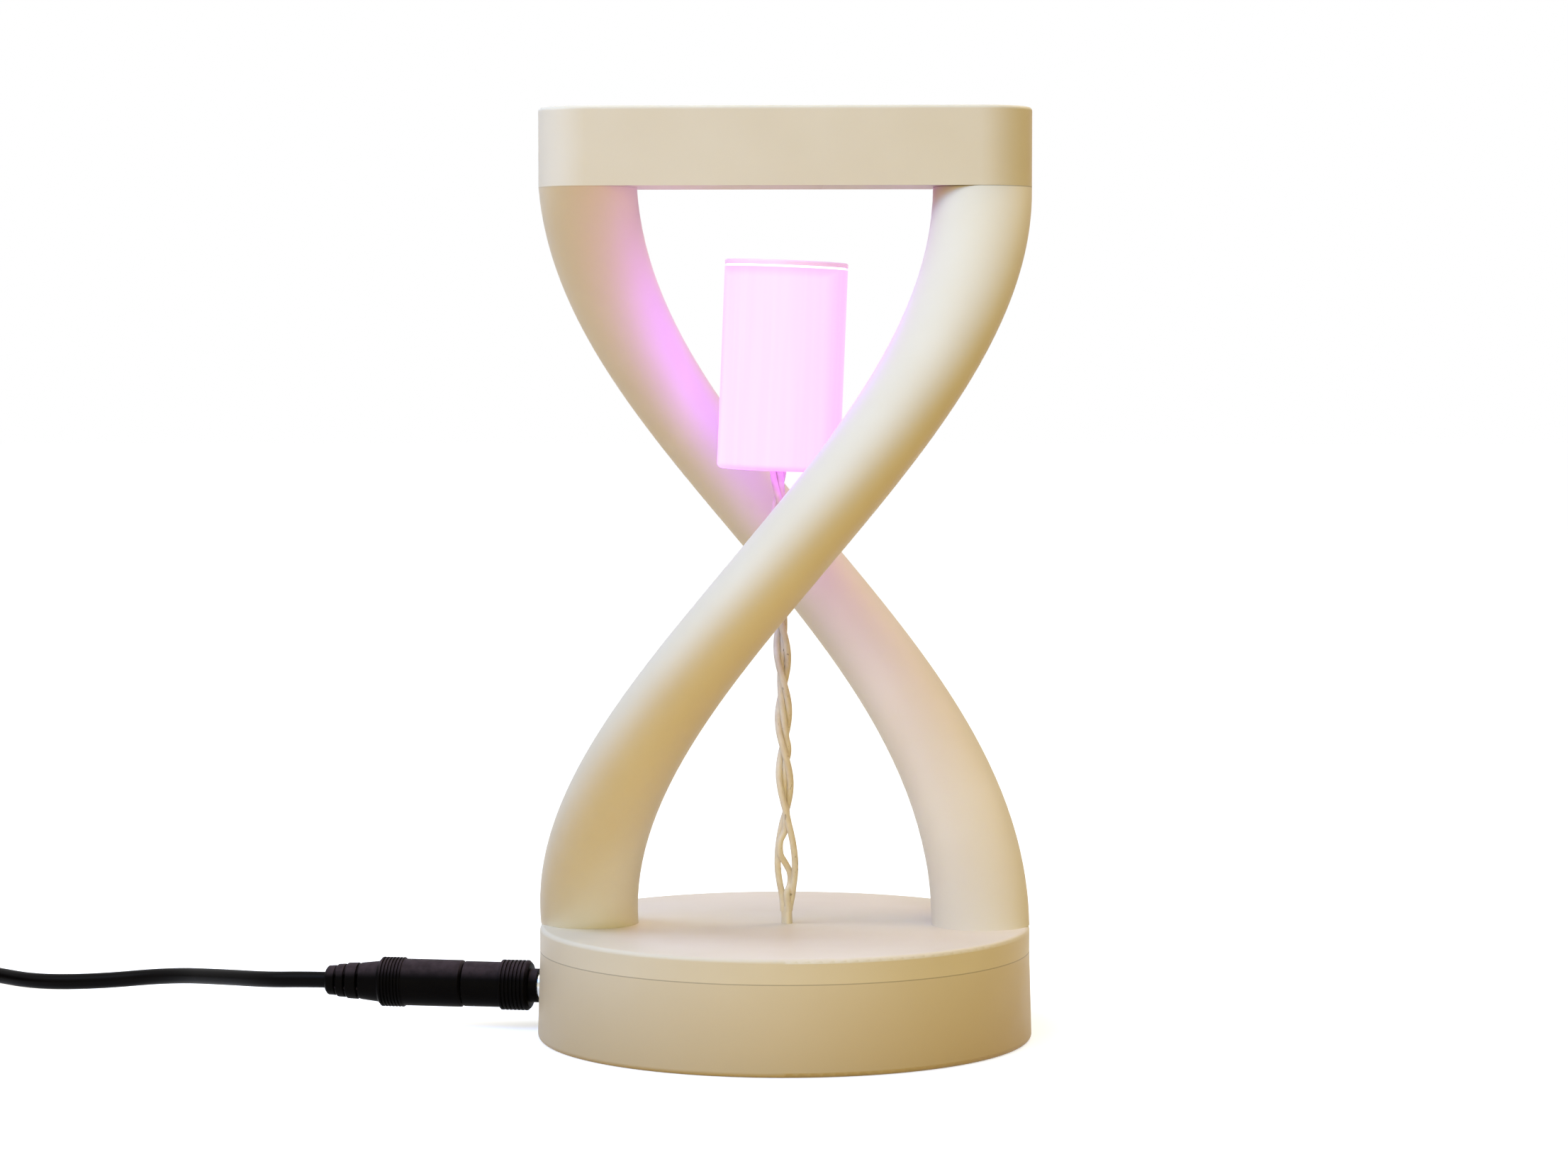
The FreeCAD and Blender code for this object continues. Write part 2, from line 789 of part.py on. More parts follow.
def make_light():
    floor = size("shade_floor")
    body = new_body("led_core")
    sketch = add_sketch(body, lift="shade_floor")
    draw_circle(sketch, "0", "0", "core_base_diameter")
    pad(body, sketch, "core_base_height")
    post = add_sketch(body, lift="shade_floor")
    half = "core_side / 2"
    draw_box(post, f"-1 * {half}", half, f"-1 * {half}", half)
    pad(body, post, "core_height")
    keep(body, shade_place())
    low = floor + size("core_base_height") + size("strip_gap")
    pitch = size("strip_length") / size("led_count")
    strips, packages = [], []
    for side in (90, 270):
        turn = Placement(Vector(), Rotation(Vector(0, 0, 1), side))
        face = size("core_side") / 2
        spot = at(face, -size("strip_width") / 2, low)
        strips.append(block("strip", "strip_thickness", "strip_width", "strip_length",
                            shade_place().multiply(turn).multiply(spot)))
        for number in range(int(size("led_count"))):
            height = low + pitch * (number + 0.5) - size("led_side") / 2
            spot = at(face + size("strip_thickness"), -size("led_side") / 2, height)
            packages.append(block("package", "led_height", "led_side", "led_side",
                                  shade_place().multiply(turn).multiply(spot)))
    keep(group("led_strips", strips))
    keep(group("led_packages", packages))


# Routes for wires and the lead

def corner_arc(before, corner, after):
    """The arc that rounds a corner: where it starts, its middle, where it ends, and its radius."""
    inward, outward = before - corner, after - corner
    shorter = min(inward.Length, outward.Length)
    inward.normalize()
    outward.normalize()
    half_turn = (math.pi - inward.getAngle(outward)) / 2
    cut_back = 0.45 * shorter
    radius = cut_back / math.tan(half_turn)
    middle = inward + outward
    middle.normalize()
    depth = radius / math.cos(half_turn) - radius
    return corner + inward * cut_back, corner + middle * depth, corner + outward * cut_back, radius


def rounded_route(points):
    """Straight runs joined by tangent arcs, and the arcs' radii."""
    edges, radii, start = [], [], points[0]
    for before, corner, after in zip(points, points[1:], points[2:]):
        arc_start, arc_middle, arc_end, radius = corner_arc(before, corner, after)
        edges.append(Part.LineSegment(start, arc_start).toShape())
        edges.append(Part.Arc(arc_start, arc_middle, arc_end).toShape())
        radii.append(radius)
        start = arc_end
    edges.append(Part.LineSegment(start, points[-1]).toShape())
    return Part.Wire(edges), radii


def single_arc(start, heading, end):
    """The arc that leaves a point along a heading and ends at another, as an edge."""
    chord = end - start
    angle = heading.getAngle(chord)
    if angle < 1e-4:
        return Part.LineSegment(start, end).toShape()
    sideways = heading - chord * (heading.dot(chord) / chord.dot(chord))
    sideways.normalize()
    rise = chord.Length / 2 * math.tan(angle / 2)
    return Part.Arc(start, start + chord * 0.5 + sideways * rise, end).toShape()


def biarc(start, heading, end, last_heading):
    """Two arcs that join two points and keep the heading at each."""
    chord = end - start
    both = heading + last_heading
    spread = 2 * (1 - heading.dot(last_heading))
    along = chord.dot(both)
    if spread < 1e-9:
        step = chord.dot(chord) / (4 * chord.dot(last_heading))
    else:
        step = (math.sqrt(along * along + spread * chord.dot(chord)) - along) / spread
    joint = (start + end + (heading - last_heading) * step) * 0.5
    first = single_arc(start, heading, joint)
    second = single_arc(end, last_heading * -1, joint)
    second.reverse()
    return [first, second]


def heading_at(place, share):
    """Which way a path heads, where a function of the share 0 to 1 gives its points."""
    tiny = 1e-5
    heading = place(min(share + tiny, 1)) - place(max(share - tiny, 0))
    heading.normalize()
    return heading


def smooth_route(place, steps):
    """Biarcs through a path that a function of the share 0 to 1 gives."""
    spots = [place(number / steps) for number in range(steps + 1)]
    headings = [heading_at(place, number / steps) for number in range(steps + 1)]
    edges = []
    for number in range(steps):
        edges += biarc(spots[number], headings[number], spots[number + 1], headings[number + 1])
    return Part.Wire(Part.__sortEdges__(edges))


def tube(route, diameter):
    """A round tube along a route, and how its volume compares with section times length."""
    first = route.OrderedEdges[0]
    start = route.OrderedVertexes[0].Point
    heading = first.tangentAt(first.FirstParameter)
    if (first.valueAt(first.FirstParameter) - start).Length > 1e-6:
        heading = first.tangentAt(first.LastParameter) * -1
    ring = Part.Wire(Part.Circle(start, heading, diameter / 2).toShape())
    solid = route.makePipeShell([ring], True, False)
    expected = math.pi * diameter * diameter / 4 * route.Length
    return solid, solid.Volume / expected


def form(name, shape):
    """A sub-part whose shape is worked out from the sheet's sizes."""
    thing = DOC.addObject("Part::Feature", name)
    thing.Label = name
    thing.Shape = shape
    return keep(thing)


# Tether

def strand_place(strand, share):
    """A point of one strand. The three lie side by side, like a ribbon that twists to the left. They are
    loosest a little above the plate, and bunch up in a triangle where they leave it."""
    low = Vector(size("tether_x"), 0, wires_low())
    high = shade_place().multVec(Vector(0, 0, size("shade_floor") - size("wire_gap")))
    near = share / size("loosest_at")
    loose = near * math.exp(1 - near)
    bunched = math.exp(-share / size("bunch_share"))
    pitch = size("wire_diameter") + size("strand_gap")
    across = (strand - 1) * (pitch * (1 - bunched / 2) + size("strand_looseness") * loose)
    # The triangle's sides are one pitch long, and its middle is a third of its depth from its base.
    depth = pitch * math.sqrt(3) / 2 * bunched
    aside = -depth * 2 / 3 if strand == 1 else depth / 3
    turned = math.pi * (0.5 - size("strand_half_turns") * share + size("strand_slack") * loose)
    turn = Rotation(Vector(0, 0, 1), math.degrees(turned))
    return low + (high - low) * share + turn.multVec(Vector(across, aside, 0))


def sleeve_low():
    return plate_top() - size("sleeve_sunk")


def wires_low():
    return sleeve_low() + size("sleeve_height") + size("wire_gap")


def make_tether():
    points = int(size("strand_points"))
    for strand, name in enumerate(("tether_wire_a", "tether_wire_b", "tether_wire_c")):
        route = smooth_route(lambda share, strand=strand: strand_place(strand, share), points)
        shape, match = tube(route, size("wire_diameter"))
        print(f"{name}: {route.Length:.1f} mm, volume {match:.4f} of section times length")
        form(name, shape)
    sleeve = cylinder("tether_sleeve", "sleeve_diameter / 2", "sleeve_height")
    keep(sleeve, at(size("tether_x"), 0, sleeve_low()))
    stop = cylinder("stop_outside", "stop_diameter / 2", "stop_length")
    bore = cylinder("stop_inside", "stop_bore / 2", "stop_length")
    ring = cut("tether_stop", stop, bore)
    keep(ring, at(size("tether_x"), 0, size("housing_height") - size("stop_length")))


def make_tails():
    """The wires' ends: down through the plate and the stop, and along into the board's connector."""
    tails = []
    entry = worth(BOARD_X) - size("board_length") / 2 + size("connector_length") / 2
    for number in range(3):
        turned = math.radians(90 + 120 * number)
        x = size("tether_x") + size("tail_spread") * math.cos(turned)
        y = size("tail_spread") * math.sin(turned)
        z = board_top() + size("connector_height") / 2 + size("tail_spread") * math.cos(turned)
        aside = (1 - number) * size("tail_pitch")
        points = [
            Vector(x, y, sleeve_low() - size("wire_gap")),
            Vector(x, y, z + size("tail_drop")),
            Vector(entry - size("tail_straight"), aside, z),
            Vector(entry - size("jack_gap"), aside, z),
        ]
        route, _ = rounded_route(points)
        tails.append(tube(route, size("wire_diameter"))[0])
    form("tether_tails", Part.makeCompound(tails))


# Driver board

def make_board():
    body = new_body("control_board")
    sketch = add_sketch(body)
    draw_box(sketch, "-1 * board_length / 2", "board_length / 2", "-1 * board_width / 2", "board_width / 2")
    pad(body, sketch, "board_thickness")
    holes = add_sketch(body)
    long = "(board_length / 2 - board_hole_inset)"
    wide = "(board_width / 2 - board_hole_inset)"
    for a in ("1", "-1"):
        for b in ("1", "-1"):
            draw_circle(holes, f"{a} * {long}", f"{b} * {wide}", "board_hole")
    pocket(body, holes, "board_thickness", upward=True)
    middle = worth(BOARD_X)
    keep(body, at(middle, 0, board_top() - size("board_thickness")))
    chip = block("board_chip", "chip_side", "chip_side", "chip_height")
    keep(chip, at(middle - size("chip_side") / 2, -size("chip_side") / 2, board_top()))
    can = cylinder("board_capacitor", "capacitor_diameter / 2", "capacitor_height")
    keep(can, at(middle + size("board_length") / 4, -size("board_width") / 5, board_top()))
    socket = block("board_connector", "connector_length", "connector_width", "connector_height")
    left = middle - size("board_length") / 2 + size("connector_length") / 2
    keep(socket, at(left, -size("connector_width") / 2, board_top()))


# Power jack

def make_jack():
    body = new_body("dc_jack_body")
    sketch = add_sketch(body)
    draw_box(sketch, "-1 * jack_height / 2", "jack_height / 2", "-1 * jack_width / 2", "jack_width / 2")
    pad(body, sketch, "jack_length", downward=True)
    mouth = add_sketch(body)
    draw_circle(mouth, "0", "0", "jack_bore")
    pocket(body, mouth, "jack_bore_depth")
    keep(body, jack_face())
    pin = cylinder("dc_jack_pin", "jack_pin_diameter / 2", "jack_pin_length")
    keep(pin, jack_face().multiply(at(0, 0, -size("jack_bore_depth"))))
    tabs = []
    rear = -size("jack_length") - size("terminal_length")
    for side in (-1, 1):
        spot = at(-size("terminal_thickness") / 2,
                  side * size("terminal_spread") / 2 - size("terminal_width") / 2, rear)
        tabs.append(block("tab", "terminal_thickness", "terminal_width", "terminal_length",
                          jack_face().multiply(spot)))
    keep(group("dc_jack_terminals", tabs))


def make_jack_leads():
    """One lead from each terminal, round the tether's stop and onto the board."""
    rear = -size("jack_length") - size("terminal_length") - size("jack_gap")
    height = board_top() + size("lead_diameter") / 2 + size("jack_gap")
    board_left = worth(BOARD_X) - size("board_length") / 2
    bend_aside = size("lead_aside")
    step_aside = bend_aside - size("lead_narrowing")
    for side, name in ((1, "jack_lead_red"), (-1, "jack_lead_black")):
        frame = jack_face()
        start = frame.multVec(Vector(0, side * size("terminal_spread") / 2, rear))
        leave = frame.multVec(Vector(0, side * size("terminal_spread") / 2, rear - size("lead_leave")))
        points = [
            start,
            leave,
            Vector(-size("lead_bend"), side * bend_aside, (start.z + height) / 2),
            Vector(board_left - size("lead_step"), side * step_aside, height + size("lead_rise")),
            Vector(board_left + size("lead_landing"), side * size("lead_landing_aside"), height),
        ]
        route, _ = rounded_route(points)
        shape, match = tube(route, size("lead_diameter"))
        print(f"{name}: {route.Length:.1f} mm, volume {match:.4f} of section times length")
        form(name, shape)


# Plugs: turned about the jack's axis, with local Z pointing out of the lamp

def make_barrel(name, insulator_name, place):
    """A plug's metal barrel, its far end at local 0, and the insulator that lines it."""
    body = new_body(name)
    corners = [
        ("barrel_bore / 2", "-1 * barrel_reach"),
        ("barrel_diameter / 2", "-1 * barrel_reach"),
        ("barrel_diameter / 2", "barrel_seat"),
        ("barrel_bore / 2", "barrel_seat"),
    ]
    revolve(body, corners)
    keep(body, place)
    lining = new_body(insulator_name)
    corners = [
        ("insulator_bore / 2", "-1 * barrel_reach"),
        ("barrel_bore / 2", "-1 * barrel_reach"),
        ("barrel_bore / 2", "barrel_seat"),
        ("insulator_bore / 2", "barrel_seat"),
    ]
    revolve(lining, corners)
    keep(lining, place)


def make_tip():
    place = jack_place(size("plug_stand_off"))
    body = new_body("tip_body")
    grip_end = "collar_length + tip_grip_length"
    end = f"{grip_end} + tip_body_length"
    corners = [
        ("barrel_diameter / 2", "0"),
        ("collar_diameter / 2", "0"),
        ("collar_diameter / 2", "collar_length"),
        ("tip_grip_diameter / 2 - tip_grip_bevel", "collar_length"),
        ("tip_grip_diameter / 2", "collar_length + tip_grip_bevel"),
        ("tip_grip_diameter / 2", grip_end),
        ("tip_body_diameter / 2", grip_end),
        ("tip_body_diameter / 2", end),
        ("socket_bore / 2 + socket_wall", end),
        ("socket_bore / 2 + socket_wall", f"{end} - socket_depth"),
        ("0", f"{end} - socket_depth"),
        ("0", "barrel_seat"),
        ("barrel_diameter / 2", "barrel_seat"),
    ]
    revolve(body, corners)
    far_end, outside = worth(end), size("tip_body_diameter") / 2
    fillet(body, lambda edge: flat_at(edge, far_end) and abs(reach(edge) - outside) < 1e-3, "tip_end_round")
    add_grip(body, "collar_length + tip_grip_bevel", "tip_grip_length - tip_grip_bevel", "tip_grip_diameter",
             "tip_groove_count")
    keep(body, place)
    make_barrel("tip_barrel", "tip_insulator", place)
    liner = new_body("tip_socket")
    corners = [
        ("socket_bore / 2", f"{end} - socket_depth"),
        ("socket_bore / 2 + socket_wall", f"{end} - socket_depth"),
        ("socket_bore / 2 + socket_wall", end),
        ("socket_bore / 2", end),
    ]
    revolve(liner, corners)
    keep(liner, place)
    pin = cylinder("tip_pin", "socket_pin_diameter / 2", "socket_pin_length")
    keep(pin, place.multiply(at(0, 0, worth(f"{end} - socket_depth"))))


def add_grip(body, low, length, diameter, count):
    """Even ring grooves over a length, with a rib at each end."""
    pitch = f"(({length} + groove_width) / ({count} + 1))"
    first = f"{low} + {pitch} - groove_width"
    ring_grooves(body, "XZ_Plane", f"{diameter} / 2 - groove_depth", f"{diameter} / 2 + groove_depth",
                 first, f"{first} + groove_width", pitch, count)


def lead_place():
    """The lead plug's own frame: the middle of its nose, just off the tip's end."""
    out = worth("plug_stand_off + collar_length + tip_grip_length + tip_body_length + mate_gap")
    return jack_place(out)


def make_lead_plug():
    place = lead_place()
    body = new_body("lead_plug_body")
    end = "plug_body_length + plug_grip_length"
    corners = [
        ("barrel_diameter / 2", "0"),
        ("plug_body_diameter / 2", "0"),
        ("plug_body_diameter / 2", "plug_body_length"),
        ("plug_grip_diameter / 2", "plug_body_length"),
        ("plug_grip_diameter / 2", f"{end} - plug_grip_bevel"),
        ("plug_grip_diameter / 2 - plug_grip_bevel", end),
        ("relief_seat_diameter / 2", end),
        ("relief_seat_diameter / 2", f"{end} - relief_seat_length"),
        ("0", f"{end} - relief_seat_length"),
        ("0", "barrel_seat"),
        ("barrel_diameter / 2", "barrel_seat"),
    ]
    revolve(body, corners)
    nose = size("plug_body_diameter") / 2
    fillet(body, lambda edge: flat_at(edge, 0) and abs(reach(edge) - nose) < 1e-3, "plug_nose_round")
    add_grip(body, "plug_body_length", "plug_grip_length - plug_grip_bevel", "plug_grip_diameter",
             "plug_groove_count")
    keep(body, place)
    make_barrel("lead_plug_barrel", "lead_plug_insulator", place)
    make_relief(place.multiply(at(0, 0, worth(end))))


def make_relief(place):
    """The lead's strain relief: it tapers in stepped beads, with a window on each side at every step."""
    body = new_body("lead_strain_relief")
    pitch = "((relief_length - relief_first) / relief_bead_count)"
    seat = "-1 * relief_seat_length"
    corners = [("0", seat), ("relief_seat_diameter / 2", seat), ("relief_seat_diameter / 2", "0")]
    low = "0"
    for number in range(int(size("relief_bead_count")) + 1):
        high = f"(relief_first + {number} * {pitch})"
        corners.append((relief_radius(low), low))
        corners.append((relief_radius(f"({high} - relief_step)"), f"{high} - relief_step"))
        corners.append((f"{relief_radius(high)} - relief_step", high))
        low = high
    corners.append(("0", high))
    revolve(body, corners)
    for side in (1, -1):
        ring_grooves(body, "YZ_Plane", f"{side} * relief_neck / 2", f"{side} * relief_wide / 2",
                     "relief_first - relief_window", "relief_first", pitch, "relief_bead_count",
                     "relief_window_angle")
    keep(body, place)


def relief_radius(where):
    """The strain relief's radius, so far along its taper."""
    return f"(relief_wide + (relief_narrow - relief_wide) * {where} / relief_length) / 2"


# Power lead. The points are where its middle passes, chosen by hand.

LEAD_POINTS = [
    (-109.0, 16.2, 8.2),
    (-119.6, 26.4, 7.1),
    (-134.6, 42.6, 5.0),
    (-152.0, 47.4, 2.7),
    (-166.5, 51.5, 1.9),
    (-178.0, 60.8, 2.1),
]
TAIL_POINTS = [
    (-229.5, 24.5, 4.8),
    (-224.5, 12.5, 4.0),
    (-219.0, 2.5, 4.0),
]


def coil_low():
    """The height of the lower layer's middle: the tie passes under it."""
    return size("tie_thickness") + size("tie_clearance") + size("cord_diameter") / 2


def coil_pitch():
    return size("cord_diameter") + size("coil_gap")


def coil_turns():
    """Whole turns and the rest from the entry to the exit, in turns."""
    rest = (size("coil_exit_angle") - size("coil_entry_angle")) / 360
    return size("coil_whole_turns") + rest


def coil_place(share):
    """A point of the coil: a flat spiral inwards, half a turn that climbs, and a spiral outwards on top."""
    layer = (coil_turns() - 0.5) / 2
    turned = coil_turns() * share
    pitch = coil_pitch()
    inner = size("coil_middle_diameter") / 2 - pitch * layer / 2
    low = coil_low()
    climb = turned - layer
    if climb < 0:
        radius, height = inner - pitch * climb, low
    elif climb < 0.5:
        part = climb / 0.5
        radius = inner - pitch * climb + pitch * climb * part
        height = low + pitch * part * part * (3 - 2 * part)
    else:
        radius, height = inner + pitch * (climb - 0.5), low + pitch
    angle = math.radians(size("coil_entry_angle")) + 2 * math.pi * turned
    middle = Vector(size("coil_x"), size("coil_y"), height)
    return middle + Vector(math.cos(angle), math.sin(angle), 0) * radius


def beyond_coil(share, ahead):
    """A point straight on from the coil's path, or straight back where ahead is negative."""
    return coil_place(share) + heading_at(coil_place, share) * ahead


def least_gap(points, diameter, apart):
    """The least gap between a tube's turns, from points along it that are at least so many steps apart."""
    gap = 1e9
    for number, point in enumerate(points):
        for other in points[number + apart:]:
            gap = min(gap, (point - other).Length - diameter)
    return gap


def cord_piece(name, points):
    route, radii = rounded_route(points)
    shape, match = tube(route, size("cord_diameter"))
    least = min(radii)
    print(f"{name}: {route.Length:.1f} mm, radii {[round(r, 1) for r in radii]}, least {least:.1f} mm,"
          f" volume {match:.4f} of section times length")
    form(name, shape)
    return route.Length


def make_cord():
    diameter = size("cord_diameter")
    end_of_relief = worth("plug_body_length + plug_grip_length + relief_length")
    points = [
        lead_place().multVec(Vector(0, 0, end_of_relief)),
        lead_place().multVec(Vector(0, 0, end_of_relief + size("cord_lead_out"))),
    ]
    points += [Vector(*point) for point in LEAD_POINTS]
    points += [beyond_coil(0, -size("cord_run_in")), coil_place(0)]
    total = cord_piece("power_cord", points)
    steps = math.ceil(coil_turns() * 4)
    route = smooth_route(coil_place, steps)
    shape, match = tube(route, diameter)
    per_turn = 72
    count = int(coil_turns() * per_turn)
    spots = [coil_place(number / count) for number in range(count + 1)]
    gap = least_gap(spots, diameter, per_turn // 2)
    inner = min(math.hypot(spot.x - size("coil_x"), spot.y - size("coil_y")) for spot in spots)
    print(f"cord_coil: {route.Length:.1f} mm in {coil_turns():.2f} turns, least gap {gap:.2f} mm,"
          f" inner radius about {inner:.1f} mm, volume {match:.4f} of section times length")
    form("cord_coil", shape)
    total += route.Length
    points = [coil_place(1), beyond_coil(1, size("cord_run_in"))]
    points += [Vector(*point) for point in TAIL_POINTS]
    total += cord_piece("cord_tail", points)
    print(f"the lead's cord is {total:.0f} mm long")


def turns_at(angle):
    """How far from the coil's middle its turns pass at an angle."""
    middle = Vector(size("coil_x"), size("coil_y"), 0)
    first = (angle - size("coil_entry_angle")) % 360 / 360
    shares = [(first + number) / coil_turns() for number in range(math.ceil(coil_turns()))]
    spots = [coil_place(share) - middle for share in shares if share <= 1]
    return [math.hypot(spot.x, spot.y) for spot in spots]


def make_tie():
    """A strap round the coil's bundle, curved as the bundle is."""
    gap, thick = size("tie_clearance"), size("tie_thickness")
    span = math.degrees(size("tie_width") / (size("coil_middle_diameter") / 2))
    first = size("tie_angle") - span / 2
    away = turns_at(first) + turns_at(first + span)
    low, high = gap + thick, gap + thick + coil_pitch() + size("cord_diameter")
    near, far = min(away) - size("cord_diameter") / 2, max(away) + size("cord_diameter") / 2
    inner = strap_outline(near - gap, far + gap, low - gap, high + gap, gap)
    outer = strap_outline(near - gap - thick, far + gap + thick, 0, high + gap + thick, gap + thick)
    face = Part.Face([outer, inner], "Part::FaceMakerBullseye")
    face.rotate(Vector(), Vector(0, 0, 1), first)
    strap = face.revolve(Vector(), Vector(0, 0, 1), span)
    thing = form("cord_tie", strap)
    thing.Placement = at(size("coil_x"), size("coil_y"), 0)


def strap_outline(near, far, low, high, corner):
    """A rectangle with rounded corners, upright in the plane of X and Z."""
    edges = []
    corners = [Vector(near, 0, low), Vector(far, 0, low), Vector(far, 0, high), Vector(near, 0, high)]
    for number, spot in enumerate(corners):
        before = corners[number - 1] - spot
        after = corners[(number + 1) % 4] - spot
        start = spot + before.normalize() * corner
        end = spot + after.normalize() * corner
        middle = spot + (before + after) * corner * (1 - math.sqrt(0.5))
        if edges:
            edges.append(Part.LineSegment(edges[-1].lastVertex().Point, start).toShape())
        edges.append(Part.Arc(start, middle, end).toShape())
    edges.append(Part.LineSegment(edges[-1].lastVertex().Point, edges[0].firstVertex().Point).toShape())
    return Part.Wire(edges)


# Plug at the lead's far end: local Z along the plug, from the strain relief's narrow end

def usb_place():
    before, last = Vector(*TAIL_POINTS[-2]), Vector(*TAIL_POINTS[-1])
    ahead = last - before
    ahead.z = 0
    ahead.normalize()
    across = Vector(0, 0, 1).cross(ahead)
    return Placement(last, Rotation(across, Vector(0, 0, 1), ahead, "ZXY"))


def make_usb_plug():
    place = usb_place()
    body = new_body("usb_plug_body")
    half_wide, half_high = "usb_body_width / 2", "usb_body_height / 2"
    sketch = add_sketch(body, lift="usb_relief_length")
    draw_box(sketch, f"-1 * {half_wide}", half_wide, f"-1 * {half_high}", half_high)
    pad(body, sketch, "usb_body_length")
    fillet(body, lambda edge: edge.BoundBox.ZLength > size("usb_body_length") / 2, "usb_body_round")
    ends = [size("usb_relief_length"), worth("usb_relief_length + usb_body_length")]
    fillet(body, lambda edge: any(flat_at(edge, height) for height in ends), "usb_end_round")
    seat = add_sketch(body, lift="usb_relief_length + usb_body_length")
    draw_box(seat, "-1 * usb_shell_width / 2", "usb_shell_width / 2",
             "-1 * usb_shell_height / 2", "usb_shell_height / 2")
    pocket(body, seat, "usb_shell_seat")
    keep(body, place)
    relief = cone("usb_plug_relief", "usb_relief_narrow / 2", "usb_relief_wide / 2", "usb_relief_length")
    keep(relief, place)
    low = size("usb_relief_length") + size("usb_body_length") - size("usb_shell_seat")
    length = "usb_shell_length + usb_shell_seat"
    outside = block("shell_outside", "usb_shell_width", "usb_shell_height", length,
                    at(-size("usb_shell_width") / 2, -size("usb_shell_height") / 2, 0))
    sheet = size("usb_sheet")
    inner_width = "usb_shell_width - 2 * usb_sheet"
    inside = block("shell_inside", inner_width, "usb_shell_height - 2 * usb_sheet", length,
                   at(sheet - size("usb_shell_width") / 2, sheet - size("usb_shell_height") / 2, 0))
    shell = cut("usb_plug_shell", outside, inside)
    keep(shell, place.multiply(at(0, 0, low)))
    tongue = block("usb_plug_tongue", inner_width, "usb_tongue_height", f"{length} - usb_tongue_gap")
    side = sheet - size("usb_shell_width") / 2
    keep(tongue, place.multiply(at(side, sheet - size("usb_shell_height") / 2, low)))
    contacts = []
    top = sheet - size("usb_shell_height") / 2 + size("usb_tongue_height")
    start = low + worth("usb_shell_seat + usb_shell_length - usb_contact_length - usb_contact_inset")
    for number in range(4):
        x = (number - 1.5) * size("usb_contact_pitch") - size("usb_contact_width") / 2
        contacts.append(block("contact", "usb_contact_width", "usb_contact_height", "usb_contact_length",
                              place.multiply(at(x, top, start))))
    keep(group("usb_plug_contacts", contacts))


def check_and_write():
    DOC.recompute()
    for thing in DOC.Objects:
        if "Invalid" in thing.State or "Error" in thing.State:
            raise ValueError(f"{thing.Label} failed: {thing.State}")
    for thing in NODES:
        if thing.Shape.isNull() or not thing.Shape.isValid():
            raise ValueError(f"{thing.Label} has no valid solid")
    os.makedirs("parts", exist_ok=True)
    for thing in NODES:
        thing.Shape.exportStep(f"parts/{thing.Label}.step")
        print(f"{thing.Label}: {len(thing.Shape.Solids)} solids, {thing.Shape.Volume:.1f} mm3")


def main():
    fill_sheet()
    make_housing()
    make_plate()
    make_column("front_column", 1)
    make_column("back_column", -1)
    make_cap()
    make_cap_fittings()
    make_all_screws()
    make_shade()
    make_light()
    make_tether()
    make_tails()
    make_board()
    make_jack()
    make_jack_leads()
    make_tip()
    make_lead_plug()
    make_cord()
    make_tie()
    make_usb_plug()
    check_and_write()


main()
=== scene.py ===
"""The levitating lamp's looks, laid over its packed construction. Metres, +Z up, the lamp faces -Y."""

import json
import math

import bmesh
import bpy
from mathutils import Matrix, Vector


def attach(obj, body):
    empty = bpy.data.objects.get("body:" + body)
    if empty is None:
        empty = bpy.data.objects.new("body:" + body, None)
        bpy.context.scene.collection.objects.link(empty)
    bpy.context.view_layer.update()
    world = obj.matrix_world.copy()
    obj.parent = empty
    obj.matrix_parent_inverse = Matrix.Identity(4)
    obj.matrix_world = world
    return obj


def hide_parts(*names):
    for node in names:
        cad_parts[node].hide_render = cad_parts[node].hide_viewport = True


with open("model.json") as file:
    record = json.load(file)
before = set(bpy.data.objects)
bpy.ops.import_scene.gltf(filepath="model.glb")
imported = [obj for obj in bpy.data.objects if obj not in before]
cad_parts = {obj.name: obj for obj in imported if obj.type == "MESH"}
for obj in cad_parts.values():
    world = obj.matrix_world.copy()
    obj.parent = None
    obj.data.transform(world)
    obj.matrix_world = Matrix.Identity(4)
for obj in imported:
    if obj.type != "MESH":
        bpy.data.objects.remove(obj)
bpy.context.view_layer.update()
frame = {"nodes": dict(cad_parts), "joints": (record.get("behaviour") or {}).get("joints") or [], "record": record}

MM = 0.001

# Sizes shared with the construction
JACK_HEIGHT = 8.8 * MM
OUTWARD = Vector(next(joint["axis"] for joint in frame["joints"] if joint["name"] == "tip_pull"))
SHADE_FOOT = Vector((-1.3 * MM, 0, 115.8 * MM))
SHADE_TILT = math.radians(2.3)


# Colours and nodes

def linear(code):
    """An sRGB hex colour as the linear colour that a shader takes."""
    channels = [int(code[at:at + 2], 16) / 255 for at in (1, 3, 5)]
    return (*[c / 12.92 if c <= 0.04045 else ((c + 0.055) / 1.055) ** 2.4 for c in channels], 1.0)


def add(tree, kind, values=None, **settings):
    """A node with its settings. Each input named takes a value, or a link from a socket or a node."""
    made = tree.nodes.new(kind)
    for name, value in settings.items():
        setattr(made, name, value)
    for name, value in (values or {}).items():
        if isinstance(value, bpy.types.Node):
            value = next(output for output in value.outputs if output.enabled)
        if isinstance(value, bpy.types.NodeSocket):
            tree.links.new(value, made.inputs[name])
        else:
            made.inputs[name].default_value = value
    return made


